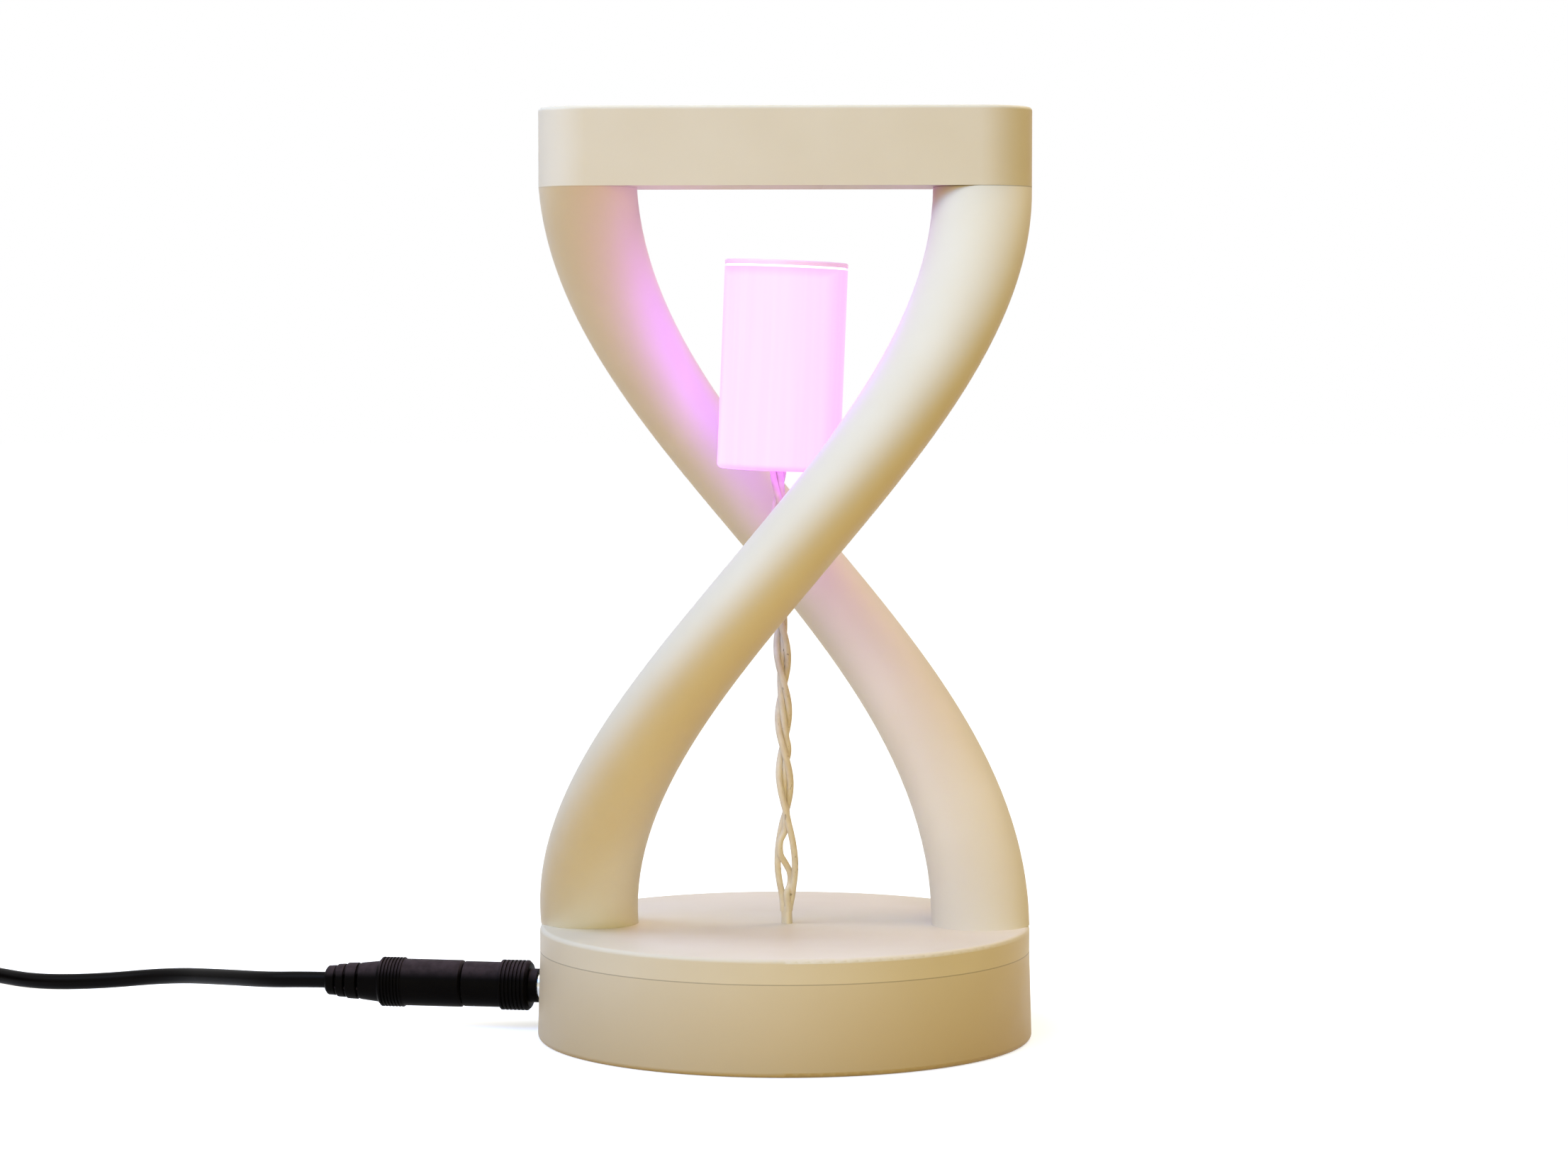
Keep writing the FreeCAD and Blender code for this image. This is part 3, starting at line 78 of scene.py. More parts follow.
def new_finish(name, **constants):
    """A material with its shader, whose constant sockets are set here, and the place on the piece."""
    material = bpy.data.materials.new(name)
    material.use_nodes = True
    tree = material.node_tree
    shader = tree.nodes["Principled BSDF"]
    for socket, value in constants.items():
        shader.inputs[socket.replace("_", " ")].default_value = value
    place = add(tree, "ShaderNodeTexCoord").outputs["Object"]
    return material, tree, shader, place


def mottle_colour(tree, shader, place, size, low, high, detail=2.0):
    """The base colour drifts between two hex colours, in soft patches about so many metres across."""
    noise = add(tree, "ShaderNodeTexNoise", {"Vector": place, "Scale": 1 / size, "Detail": detail})
    spread = add(tree, "ShaderNodeMapRange", {"Value": noise, "From Min": 0.35, "From Max": 0.65})
    mixed = add(tree, "ShaderNodeMix", {"Factor": spread, "A": linear(low), "B": linear(high)},
                data_type="RGBA")
    tree.links.new(mixed.outputs["Result"], shader.inputs["Base Color"])
    return mixed


def vary_gloss(tree, shader, place, size, low, high):
    """The roughness drifts between two values, in soft patches about so many metres across."""
    noise = add(tree, "ShaderNodeTexNoise", {"Vector": place, "Scale": 1 / size, "Detail": 2.0})
    roughness = add(tree, "ShaderNodeMapRange", {"Value": noise, "To Min": low, "To Max": high})
    tree.links.new(roughness.outputs["Result"], shader.inputs["Roughness"])


def raise_grain(tree, shader, place, size, depth, strength=1.0):
    """Relief so many metres deep, in grains about so many metres across."""
    noise = add(tree, "ShaderNodeTexNoise", {"Vector": place, "Scale": 1 / size, "Detail": 3.0})
    bump = add(tree, "ShaderNodeBump", {"Height": noise, "Distance": depth, "Strength": strength})
    tree.links.new(bump.outputs["Normal"], shader.inputs["Normal"])


# Finishes

CAN_TOP = 18.0 * MM
CAN_FOOT = 0.5 * MM
# The can is darker than the rest of the frame, and darker still towards the table; that growing darkening
# is painted shade where the can stands on the floor. This much of the darkening is there at its top.
CAN_DARKENING_AT_TOP = 0.3
# Joints of the frame that show as hairlines: the can's rim, and just under the bar. Each has its height, and
# how dark it is at the lamp's left and right.
JOINTS = ((CAN_TOP, 0.42, 0.42), (172.92 * MM, 0.12, 0.42))
JOINT_HALF_WIDTH = 0.1 * MM
JOINT_SIDES = 30 * MM


def cream_paint():
    """Satin cream paint, sprayed over sanded printed plastic. Soft broad highlights, a fine orange-peel
    skin that breaks them up, and a tone that drifts a little over each piece."""
    drift, handling, orange_peel = 22 * MM, 5 * MM, 0.45 * MM
    material, tree, shader, place = new_finish("cream_satin_paint", IOR=1.47, Specular_IOR_Level=0.25)
    base = mottle_colour(tree, shader, place, drift, "#EAE2D1", "#EDE6D7")
    spot = add(tree, "ShaderNodeSeparateXYZ", {"Vector": place}).outputs
    on_can = add(tree, "ShaderNodeMath", {0: spot["Z"], 1: CAN_TOP}, operation="LESS_THAN")
    towards_foot = add(tree, "ShaderNodeMapRange",
                 {"Value": spot["Z"], "From Min": CAN_TOP, "From Max": CAN_FOOT, "To Min": CAN_DARKENING_AT_TOP})
    # Painted shade: the can darkens towards the table, where it stands on the floor.
    painted_can_shade = add(tree, "ShaderNodeMath", {0: on_can, 1: towards_foot}, operation="MULTIPLY")
    can_with_shade = add(tree, "ShaderNodeMix", {"Factor": painted_can_shade, "A": base, "B": linear("#D4C5AA")},
               data_type="RGBA")
    darkness = 0.0
    for height, left, right in JOINTS:
        line = add(tree, "ShaderNodeMath", {0: spot["Z"], 1: height, 2: JOINT_HALF_WIDTH},
                   operation="COMPARE")
        depth = add(tree, "ShaderNodeMapRange",
                    {"Value": spot["X"], "From Min": -JOINT_SIDES, "From Max": JOINT_SIDES,
                     "To Min": left, "To Max": right}, interpolation_type="SMOOTHSTEP")
        drawn = add(tree, "ShaderNodeMath", {0: line, 1: depth}, operation="MULTIPLY")
        darkness = add(tree, "ShaderNodeMath", {0: darkness, 1: drawn}, operation="MAXIMUM")
    lined = add(tree, "ShaderNodeMix", {"Factor": darkness, "A": can_with_shade, "B": linear("#5E5138")},
                data_type="RGBA")
    tree.links.new(lined.outputs["Result"], shader.inputs["Base Color"])
    vary_gloss(tree, shader, place, handling, 0.42, 0.54)
    raise_grain(tree, shader, place, orange_peel, 0.012 * MM, 0.5)
    return material


def in_shade(tree, place):
    """The place in the shade's own frame: its foot at the origin, Z along its axis."""
    own_frame = {"Vector": place, "Location": SHADE_FOOT, "Rotation": (0, SHADE_TILT, 0)}
    return add(tree, "ShaderNodeMapping", own_frame, vector_type="TEXTURE")


# Where the lit tube turns pinker, in the shade's own frame: along which axis, where that starts, where it is
# full, and how far it goes. The pink is partly painted shade, where light from outside falls off over the
# tube's sides, foot and top; the wider band on its right is painted shade.
PINK_AND_SHADED_EDGES = (
    ("X", 7.5 * MM, 12.9 * MM, 1.0),
    ("X", -11.4 * MM, -12.9 * MM, 1.0),
    ("Z", 1.4 * MM, 0.0, 1.0),
    ("Z", 38.6 * MM, 40.8 * MM, 0.7),
)


def opal_acrylic():
    """Frosted opal acrylic tube, lit from inside by violet-pink lamps. Its face glows near white. The sides,
    which see less of the light strips, and the rounded foot are pinker; that pink, wider on the right, is also
    painted shade where light from outside falls off. Faint streaks run up it."""
    streak, stretch = 1.4 * MM, 0.03
    material, tree, shader, place = new_finish("opal_acrylic_lit", Roughness=0.5, IOR=1.49)
    own = in_shade(tree, place)
    spot = add(tree, "ShaderNodeSeparateXYZ", {"Vector": own}).outputs
    pinker = 0.0
    # Painted shade: the pinker edges stand in part for light from outside falling off over the tube.
    for axis, start, full, share in PINK_AND_SHADED_EDGES:
        edge = add(tree, "ShaderNodeMapRange",
                   {"Value": spot[axis], "From Min": start, "From Max": full, "To Max": share},
                   interpolation_type="SMOOTHSTEP")
        pinker = add(tree, "ShaderNodeMath", {0: pinker, 1: edge}, operation="MAXIMUM")
    drawn_out = add(tree, "ShaderNodeMapping", {"Vector": own, "Scale": (1, 1, stretch)})
    mottle_colour(tree, shader, drawn_out, streak, "#6B656B", "#706A70", 1.0)
    streaks = add(tree, "ShaderNodeTexNoise", {"Vector": drawn_out, "Scale": 1 / streak, "Detail": 1.0})
    glow = add(tree, "ShaderNodeMix", {"Factor": pinker, "A": linear("#BF73FF"), "B": linear("#BF60FF")},
               data_type="RGBA")
    strength = add(tree, "ShaderNodeMapRange",
                   {"Value": streaks, "From Min": 0.3, "From Max": 0.7, "To Min": 3.66, "To Max": 3.74},
                   interpolation_type="SMOOTHSTEP")
    tree.links.new(glow.outputs["Result"], shader.inputs["Emission Color"])
    tree.links.new(strength.outputs["Result"], shader.inputs["Emission Strength"])
    return material


def lid_acrylic():
    """The shade's lid, the same acrylic but thicker. It lets through a dull pink, and the thin neck under
    its rim, where the light escapes, shows as a white line."""
    material, tree, shader, place = new_finish("opal_acrylic_lid", Roughness=0.5, IOR=1.49)
    spot = add(tree, "ShaderNodeSeparateXYZ", {"Vector": in_shade(tree, place)}).outputs
    aside = add(tree, "ShaderNodeMath", {0: spot["X"]}, operation="ABSOLUTE")
    # Over the neck, under it and past its sides
    edges = ((spot["Z"], 41.25 * MM, 41.35 * MM), (spot["Z"], 41.0 * MM, 40.9 * MM),
             (aside, 11.4 * MM, 12.4 * MM))
    dull = 0.0
    for value, start, full in edges:
        edge = add(tree, "ShaderNodeMapRange", {"Value": value, "From Min": start, "From Max": full},
                   interpolation_type="SMOOTHSTEP")
        dull = add(tree, "ShaderNodeMath", {0: dull, 1: edge}, operation="MAXIMUM")
    mottle_colour(tree, shader, place, 3 * MM, "#D9C4CF", "#DFCBD6")
    glow = add(tree, "ShaderNodeMix", {"Factor": dull, "A": linear("#FFE7FF"), "B": linear("#AD81B3")},
               data_type="RGBA")
    strength = add(tree, "ShaderNodeMapRange", {"Value": dull, "To Min": 2.4, "To Max": 1.0},
                   interpolation_type="SMOOTHSTEP")
    tree.links.new(glow.outputs["Result"], shader.inputs["Emission Color"])
    tree.links.new(strength.outputs["Result"], shader.inputs["Emission Strength"])
    return material


def moulded(name, low, high, roughness, grain, depth, **constants):
    """Injection-moulded plastic: an even colour, a fine cast grain and a slightly uneven gloss."""
    material, tree, shader, place = new_finish(name, **constants)
    mottle_colour(tree, shader, place, 12 * grain, low, high)
    vary_gloss(tree, shader, place, 6 * grain, roughness - 0.05, roughness + 0.05)
    raise_grain(tree, shader, place, grain, depth)
    return material


def bare_metal(name, low, high, roughness, grain, depth):
    """Plated or machined metal: hard reflections, softened by fine marks."""
    material, tree, shader, place = new_finish(name, Metallic=1.0)
    mottle_colour(tree, shader, place, 10 * grain, low, high)
    vary_gloss(tree, shader, place, 5 * grain, roughness - 0.06, roughness + 0.06)
    raise_grain(tree, shader, place, grain, depth)
    return material


def pvc_with_painted_highlight():
    """Black flexible PVC as moulded: near black and faintly matt, with handling grease that varies its gloss.
    What faces up is paler in patches: a painted highlight."""
    # The size of the painted highlight's patches, of the gloss drift and of the grain
    dust, handling, grain = 1.6 * MM, 1.5 * MM, 0.25 * MM
    material, tree, shader, place = new_finish("plug_pvc", Specular_IOR_Level=0.02)
    base = mottle_colour(tree, shader, place, 3 * MM, "#060505", "#080707")
    normal = add(tree, "ShaderNodeTexCoord").outputs["Normal"]
    facing = add(tree, "ShaderNodeSeparateXYZ", {"Vector": normal}).outputs
    upward = add(tree, "ShaderNodeMapRange",
                 {"Value": facing["Z"], "From Min": 0.3, "From Max": 0.85, "To Max": 0.85},
                 interpolation_type="SMOOTHSTEP")
    patches = add(tree, "ShaderNodeTexNoise", {"Vector": place, "Scale": 1 / dust, "Detail": 2.0})
    patchy = add(tree, "ShaderNodeMapRange",
                 {"Value": patches, "From Min": 0.25, "From Max": 0.7, "To Min": 0.65, "To Max": 1.0},
                 interpolation_type="SMOOTHSTEP")
    # Painted highlight: a pale tint, in patches, on what faces up.
    painted_highlight = add(tree, "ShaderNodeMath", {0: upward, 1: patchy}, operation="MULTIPLY")
    highlighted = add(tree, "ShaderNodeMix", {"Factor": painted_highlight, "A": base, "B": linear("#463C41")},
                 data_type="RGBA")
    tree.links.new(highlighted.outputs["Result"], shader.inputs["Base Color"])
    vary_gloss(tree, shader, place, handling, 0.38, 0.5)
    raise_grain(tree, shader, place, grain, 0.006 * MM)
    return material


def wire_skin():
    """Silicone insulation, once white and now beige: darker where dust has worked into it, with a few dark
    specks, longer than they are wide."""
    speck, stretch, handling, grain = 0.55 * MM, 0.35, 1.2 * MM, 0.35 * MM
    material, tree, shader, place = new_finish("beige_silicone_skin", IOR=1.41, Specular_IOR_Level=0.3)
    base = mottle_colour(tree, shader, place, 2.5 * MM, "#E2D6C4", "#ECE3D4")
    drawn_out = add(tree, "ShaderNodeMapping", {"Vector": place, "Scale": (1, 1, stretch)})
    noise = add(tree, "ShaderNodeTexNoise", {"Vector": drawn_out, "Scale": 1 / speck, "Detail": 1.0})
    specks = add(tree, "ShaderNodeMapRange",
                 {"Value": noise, "From Min": 0.71, "From Max": 0.75, "To Max": 0.6},
                 interpolation_type="SMOOTHSTEP")
    marked = add(tree, "ShaderNodeMix", {"Factor": specks, "A": base, "B": linear("#7A6A56")},
                 data_type="RGBA")
    tree.links.new(marked.outputs["Result"], shader.inputs["Base Color"])
    vary_gloss(tree, shader, place, handling, 0.45, 0.6)
    raise_grain(tree, shader, place, grain, 0.01 * MM)
    return material


# Each finish, by its slot in the construction
FINISHES = {
    "frame_paint": cream_paint(),
    "shade_diffuser": opal_acrylic(),
    "shade_lid": lid_acrylic(),
    "plug_plastic": pvc_with_painted_highlight(),
    "wire_insulation": wire_skin(),
    # Extruded PVC sheath: black and smooth, with a narrow shine along it
    "cord_rubber": moulded("cord_pvc", "#050404", "#080606", 0.36, 0.6 * MM, 0.005 * MM,
                           Specular_IOR_Level=0.04),
    # Polyolefin shrink tube: cream and slightly waxy
    "sleeve_heatshrink": moulded("cream_shrink_tube", "#E4D8C6", "#EBE1D1", 0.5, 0.4 * MM, 0.006 * MM),
    # Woven hook-and-loop tape: dull and furry
    "tie_fabric": moulded("hook_and_loop", "#131314", "#202022", 0.9, 0.3 * MM, 0.1 * MM),
    # Nickel plating over brass: bright, with clear reflections
    "contact_metal": bare_metal("nickel_contact", "#C6C6C3", "#D2D2D0", 0.16, 0.4 * MM, 0.001 * MM),
    # Pressed and plated steel sheet: bright, but blurred by the press
    "usb_steel": bare_metal("stamped_steel", "#B6B6B4", "#C3C3C2", 0.26, 0.4 * MM, 0.002 * MM),
    # White polyester insert: clean and half matt
    "tongue_plastic": moulded("white_moulded_insert", "#E6E6E1", "#EEEEEA", 0.45, 0.3 * MM, 0.003 * MM),
    # Black glass-filled nylon: matt, with a fine grain
    "jack_plastic": moulded("jack_plastic", "#141416", "#1B1B1D", 0.5, 0.2 * MM, 0.004 * MM),
    # Nickel plating on a sintered magnet: a soft mirror
    "magnet_nickel": bare_metal("nickel_plate", "#B4B2AC", "#C2C0BB", 0.22, 0.4 * MM, 0.002 * MM),
    # Milled aluminium: pale, with a broad sheen from the cutter
    "core_aluminium": bare_metal("milled_aluminium", "#B9BBBE", "#C6C8CA", 0.38, 0.3 * MM, 0.004 * MM),
    # White solder mask on the light strips: even, half gloss
    "strip_board": moulded("white_solder_mask", "#E9E9E4", "#F0F0EC", 0.4, 0.4 * MM, 0.003 * MM),
    # Silicone filled with phosphor, over each light: yellow and glossy
    "led_package": moulded("phosphor_resin", "#E8D779", "#F1E7B0", 0.35, 0.8 * MM, 0.002 * MM),
    # Turned brass: warm, with fine rings from the tool
    "crimp_brass": bare_metal("turned_brass", "#B8955A", "#C6A468", 0.3, 0.3 * MM, 0.003 * MM),
    # Zinc plating on steel screws: grey, a little dull
    "screw_steel": bare_metal("zinc_plated_steel", "#9A9B9C", "#A9AAAB", 0.34, 0.3 * MM, 0.003 * MM),
    # Green solder mask on glass laminate: half gloss
    "board_laminate": moulded("green_solder_mask", "#17492B", "#1D5634", 0.4, 0.4 * MM, 0.003 * MM),
    # Moulded epoxy: dark grey and matt
    "chip_epoxy": moulded("chip_epoxy", "#17171A", "#1E1E21", 0.6, 0.15 * MM, 0.003 * MM),
    # Drawn aluminium can: bright, with faint marks
    "capacitor_can": bare_metal("capacitor_can", "#AEB1B5", "#BEC0C4", 0.3, 0.3 * MM, 0.002 * MM),
    # Natural nylon: ivory and waxy
    "connector_nylon": moulded("natural_nylon", "#E4DFD0", "#EBE7DB", 0.45, 0.4 * MM, 0.004 * MM),
    # Coloured PVC on the inner leads: smooth, half gloss
    "wire_red": moulded("red_wire_skin", "#9E1712", "#AD1F18", 0.4, 0.4 * MM, 0.003 * MM),
    "wire_black": moulded("black_wire_skin", "#131313", "#1A1A1A", 0.4, 0.4 * MM, 0.003 * MM),
}


def dress_nodes():
    """Every node of the construction takes the finish of its slot in the record."""
    for part in frame["record"]["subparts"]:
        thing = frame["nodes"][part["node"]]
        if not thing.material_slots:
            thing.data.materials.append(None)
        for slot in thing.material_slots:
            slot.material = FINISHES[part["material_slot"]]


def settle(thing, body, slot, *nodes):
    """A new piece gets its finish, rides on its body and stands for its nodes."""
    thing.data.materials.clear()
    thing.data.materials.append(FINISHES[slot])
    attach(thing, body)
    if nodes:
        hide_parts(*nodes)
    return thing


# Power lead: the control points of one smooth line, listed where it isn't coiled

LEAD_DIAMETER = 3.4 * MM
RELIEF_END = 96.7 * MM
# How far the line starts inside the strain relief, and how far it goes straight on outside
LEAD_INSIDE = 1 * MM
LEAD_OUT = 5 * MM
LEAD_POINTS = [
    (-0.1090, 0.0162, 0.0082),
    (-0.1196, 0.0264, 0.0071),
    (-0.1346, 0.0426, 0.0050),
    (-0.1520, 0.0474, 0.0027),
    (-0.1665, 0.0515, 0.0019),
    (-0.1780, 0.0608, 0.0021),
]
TAIL_POINTS = [
    (-0.2295, 0.0245, 0.0048),
    (-0.2245, 0.0125, 0.0040),
    (-0.2190, 0.0025, 0.0040),
]
COIL_MIDDLE = Vector((-0.2055, 0.0460, 0))
COIL_RADIUS = 19.8 * MM
COIL_PITCH = LEAD_DIAMETER + 0.55 * MM
COIL_LOW = 2.45 * MM
# Where the lead comes to the coil and leaves it, in degrees, and the turns between
COIL_IN, COIL_OUT = 68, 180
COIL_ENTRY = math.radians(COIL_IN)
COIL_TURNS = 6 + (COIL_OUT - COIL_IN) / 360
# The turns that the climb to the upper layer takes
COIL_CLIMB = 0.5
# How far the line runs straight on at the coil's ends
COIL_RUN = 9 * MM
POINTS_PER_TURN = 24


def jack_point(distance):
    """A point on the jack's axis, so far from the lamp's own axis."""
    spot = OUTWARD * distance
    spot.z = JACK_HEIGHT
    return spot


def coil_point(turns):
    """A point of the coil after so many turns: inwards in the lower layer, half a turn that climbs, and
    outwards in the upper layer."""
    layer = (COIL_TURNS - COIL_CLIMB) / 2
    inner = COIL_RADIUS - COIL_PITCH * layer / 2
    climb = turns - layer
    if climb < 0:
        radius, height = inner - COIL_PITCH * climb, COIL_LOW
    elif climb < COIL_CLIMB:
        part = climb / COIL_CLIMB
        radius = inner - COIL_PITCH * climb * (1 - part)
        height = COIL_LOW + COIL_PITCH * part * part * (3 - 2 * part)
    else:
        radius, height = inner + COIL_PITCH * (climb - COIL_CLIMB), COIL_LOW + COIL_PITCH
    angle = COIL_ENTRY + math.tau * turns
    return COIL_MIDDLE + Vector((radius * math.cos(angle), radius * math.sin(angle), height))


def coil_heading(turns):
    """Which way the lead runs there."""
    nearby = 1e-4
    return (coil_point(turns + nearby) - coil_point(turns - nearby)).normalized()


def make_curve(name, points, diameter):
    """A round cord on one smooth line with those points as its control points."""
    data = bpy.data.curves.new(name, "CURVE")
    data.dimensions = "3D"
    data.bevel_depth = diameter / 2
    data.bevel_resolution = 6
    data.resolution_u = 6
    data.use_fill_caps = True
    spline = data.splines.new("NURBS")
    spline.points.add(len(points) - 1)
    for spot, point in zip(spline.points, points):
        spot.co = (*point, 1)
    spline.order_u = 3
    spline.use_endpoint_u = True
    thing = bpy.data.objects.new(name, data)
    bpy.context.scene.collection.objects.link(thing)
    return thing


def make_lead(strap):
    """The lead from its strain relief, through the coil that the strap holds, to the far plug."""
    points = [jack_point(RELIEF_END - LEAD_INSIDE), jack_point(RELIEF_END + LEAD_OUT)]
    points += [Vector(point) for point in LEAD_POINTS]
    points.append(coil_point(0) - coil_heading(0) * COIL_RUN)
    count = math.ceil(COIL_TURNS * POINTS_PER_TURN)
    points += [coil_point(COIL_TURNS * number / count) for number in range(count + 1)]
    points.append(coil_point(COIL_TURNS) + coil_heading(COIL_TURNS) * COIL_RUN)
    points += [Vector(point) for point in TAIL_POINTS]
    lead = make_curve("power_lead", points, LEAD_DIAMETER)
    settle(lead, "lead", "cord_rubber", "power_cord", "cord_coil", "cord_tail")
    jack_point(RELIEF_END)


# Tether: three wires packed side by side, like a ribbon that twists to the left. They lie loosest a little
# above the plate, and bunch up where they leave it. A place along it is a share of its length.

WIRE_DIAMETER = 1.34 * MM
# Least distance between the middles of two wires
WIRE_PITCH = 1.36 * MM
WIRE_POINTS = 84
WIRE_INSIDE = 1.1 * MM
TETHER_FOOT = Vector((0.5 * MM, 0, 26.3 * MM))
TETHER_TOP = SHADE_FOOT + Vector((math.sin(SHADE_TILT), 0, math.cos(SHADE_TILT))) * WIRE_INSIDE
# The winding: its half turns, how many of them it is behind, how far the foot is ahead of that again, and
# the share over which the foot's part fades
HALF_TURNS = 7.05
BEHIND = 0.58
AHEAD_AT_FOOT = 0.95
FOOT_SHARE = 0.12
# How far the outer wires lie from the middle one, how much further where the ribbon is loosest, where that
# is, and the share over which the bunched foot opens
SPREAD = 1.12 * MM
LOOSENESS = 0.8 * MM
LOOSEST_AT = 0.1
BUNCH_SHARE = 0.03
# How abruptly the loose stretch and the wanders start and end
SHARPNESS = 4
# Where the middle wire wanders: height, how far up and down that reaches, and how far it goes along X and Y
WANDERS = [
    (58.7 * MM, 1.6 * MM, 0.35 * MM, 0.0),
    (45.8 * MM, 1.3 * MM, 0.6 * MM, 0.0),
    (38.6 * MM, 2.7 * MM, -1.25 * MM, -0.95 * MM),
    (32.2 * MM, 2.2 * MM, 0.8 * MM, 0.45 * MM),
]


def wire_point(strand, share):
    """A point of one wire. The middle wire, number 1, sits in the dip between the others."""
    near = share / LOOSEST_AT
    loose = (near * math.exp(1 - near)) ** SHARPNESS
    bunched = math.exp(-share / BUNCH_SHARE)
    apart = SPREAD * (1 - bunched) + WIRE_PITCH / 2 * bunched + LOOSENESS * loose
    depth = math.sqrt(max(0.0, WIRE_PITCH ** 2 - apart ** 2))
    aside = -depth * 2 / 3 if strand == 1 else depth / 3
    half_turns = HALF_TURNS * share - BEHIND + AHEAD_AT_FOOT * math.exp(-(share / FOOT_SHARE) ** 2)
    turn = Matrix.Rotation(math.pi * (0.5 - half_turns), 3, "Z")
    spot = TETHER_FOOT.lerp(TETHER_TOP, share) + turn @ Vector(((strand - 1) * apart, aside, 0))
    if strand == 1:
        for height, reach, along, away in WANDERS:
            weight = math.exp(-((spot.z - height) / reach) ** SHARPNESS)
            spot += Vector((along, away, 0)) * weight
    return spot


def make_wires():
    """Three wires, rooted in their common foot, that go up into the shade."""
    root = Vector((0, 0, 0.8 * MM))
    for strand, node in enumerate(("tether_wire_a", "tether_wire_b", "tether_wire_c")):
        points = [wire_point(strand, number / WIRE_POINTS) for number in range(WIRE_POINTS + 1)]
        points.insert(0, points[0] - root)
        wire = make_curve(f"wire_{node[-1]}", points, WIRE_DIAMETER)
        settle(wire, "tether", "wire_insulation", node)


def make_bundle():
    """The wires' short common foot: shrink tube drawn tight, so that it keeps their three-lobed section."""
    low, high = 22.2 * MM, 26.6 * MM
    sides, levels = 72, 30
    # Radius and lobes in millimetres. The section is a little over size at the foot and tapers upwards.
    middle, lobe = 1.06, 0.16
    foot_size, taper = 1.03, 0.05
    twist = math.radians(14)
    # The tip closes over the last quarter, by this share of its size
    closing_from, closing_by = 0.75, 0.14
    lobes_at = math.pi * (0.5 + BEHIND - AHEAD_AT_FOOT) - math.pi / 2
    shape = bmesh.new()
    rings = []
    for level in range(levels + 1):
        part = level / levels
        closing = max(0.0, (part - closing_from) / (1 - closing_from))
        size = (1 - closing_by * closing * closing) * (foot_size - taper * part)
        ring = []
        for side in range(sides):
            angle = math.tau * side / sides
            lobes = math.cos(3 * (angle - lobes_at + twist * (1 - part)))
            radius = (middle + lobe * lobes) * size
            ring.append(shape.verts.new((TETHER_FOOT.x + radius * math.cos(angle) * MM,
                                         radius * math.sin(angle) * MM, low + (high - low) * part)))
        rings.append(ring)
    skin(shape, rings)
    shape.faces.new(rings[-1])
    settle(finish_mesh("tether_bundle", shape), "tether_foot", "sleeve_heatshrink", "tether_sleeve")


def make_filler():
    """Filler, painted with the plate, closes the hole round the wires' foot with a low soft rim. Its inner
    edge follows the wires, and its outer edge the hole."""
    inner, outer, sides = 0.95, 2.4, 72
    outline = [(inner, 22.6), (inner, 22.97), (1.3, 23.03), (1.9, 23.05), (2.25, 23.03), (outer, 23.0)]
    shape = bmesh.new()
    rings = []
    for radius, height in outline:
        middle = TETHER_FOOT.x * (outer - radius) / (outer - inner)
        ring = []
        for side in range(sides):
            angle = math.tau * side / sides
            ring.append(shape.verts.new((middle + radius * math.cos(angle) * MM,
                                         radius * math.sin(angle) * MM, height * MM)))
        rings.append(ring)
    skin(shape, rings)
    settle(finish_mesh("hole_filler", shape), "frame", "frame_paint")


# The coil's strap: once round the bundle, then its end pressed down on the top and over the side

TIE_AT = math.radians(300)
TIE_WIDTH = 12 * MM
TIE_THICK = 0.5 * MM
TIE_GAP = 0.25 * MM
TIE_CORNER = 1.1 * MM
TIE_EDGE = 0.14 * MM
# How far the strap laps back on the top before it rises over itself, and how far its end hangs
TIE_LAP = 2.2 * MM
TIE_END = 2.6 * MM


def tie_path():
    """(across and up, the way out, lift) round the bundle's section, seen along the coil."""
    first_turn = ((TIE_AT - COIL_ENTRY) % math.tau) / math.tau
    passes = [number + first_turn for number in range(int(COIL_TURNS) + 1)]
    away = [(coil_point(turns) - COIL_MIDDLE).xy.length for turns in passes if turns < COIL_TURNS]
    near = min(away) - LEAD_DIAMETER / 2 - TIE_GAP + TIE_CORNER
    far = max(away) + LEAD_DIAMETER / 2 + TIE_GAP - TIE_CORNER
    low = TIE_THICK + TIE_CORNER
    high = TIE_THICK + 2 * TIE_GAP + COIL_PITCH + LEAD_DIAMETER - TIE_CORNER
    top = (Vector(((near + far) / 2, high + TIE_CORNER)), Vector((0, 1)))
    steps = 8
    rounds = []
    for number, middle in enumerate(((far, high), (far, low), (near, low), (near, high))):
        for step in range(steps + 1):
            angle = math.radians(90 - 90 * number - 90 * step / steps)
            way = Vector((math.cos(angle), math.sin(angle)))
            rounds.append((Vector(middle) + way * TIE_CORNER, way))
    first = [(*spot, 0.0) for spot in [top, *rounds]]
    over = (top[0] - Vector((TIE_LAP, 0)), top[1], 0.0)
    second = [(*spot, TIE_THICK) for spot in [top, *rounds[:steps + 1]]]
    place, way = rounds[steps]
    return first + [over] + second + [(place - Vector((0, TIE_END)), way, TIE_THICK)]


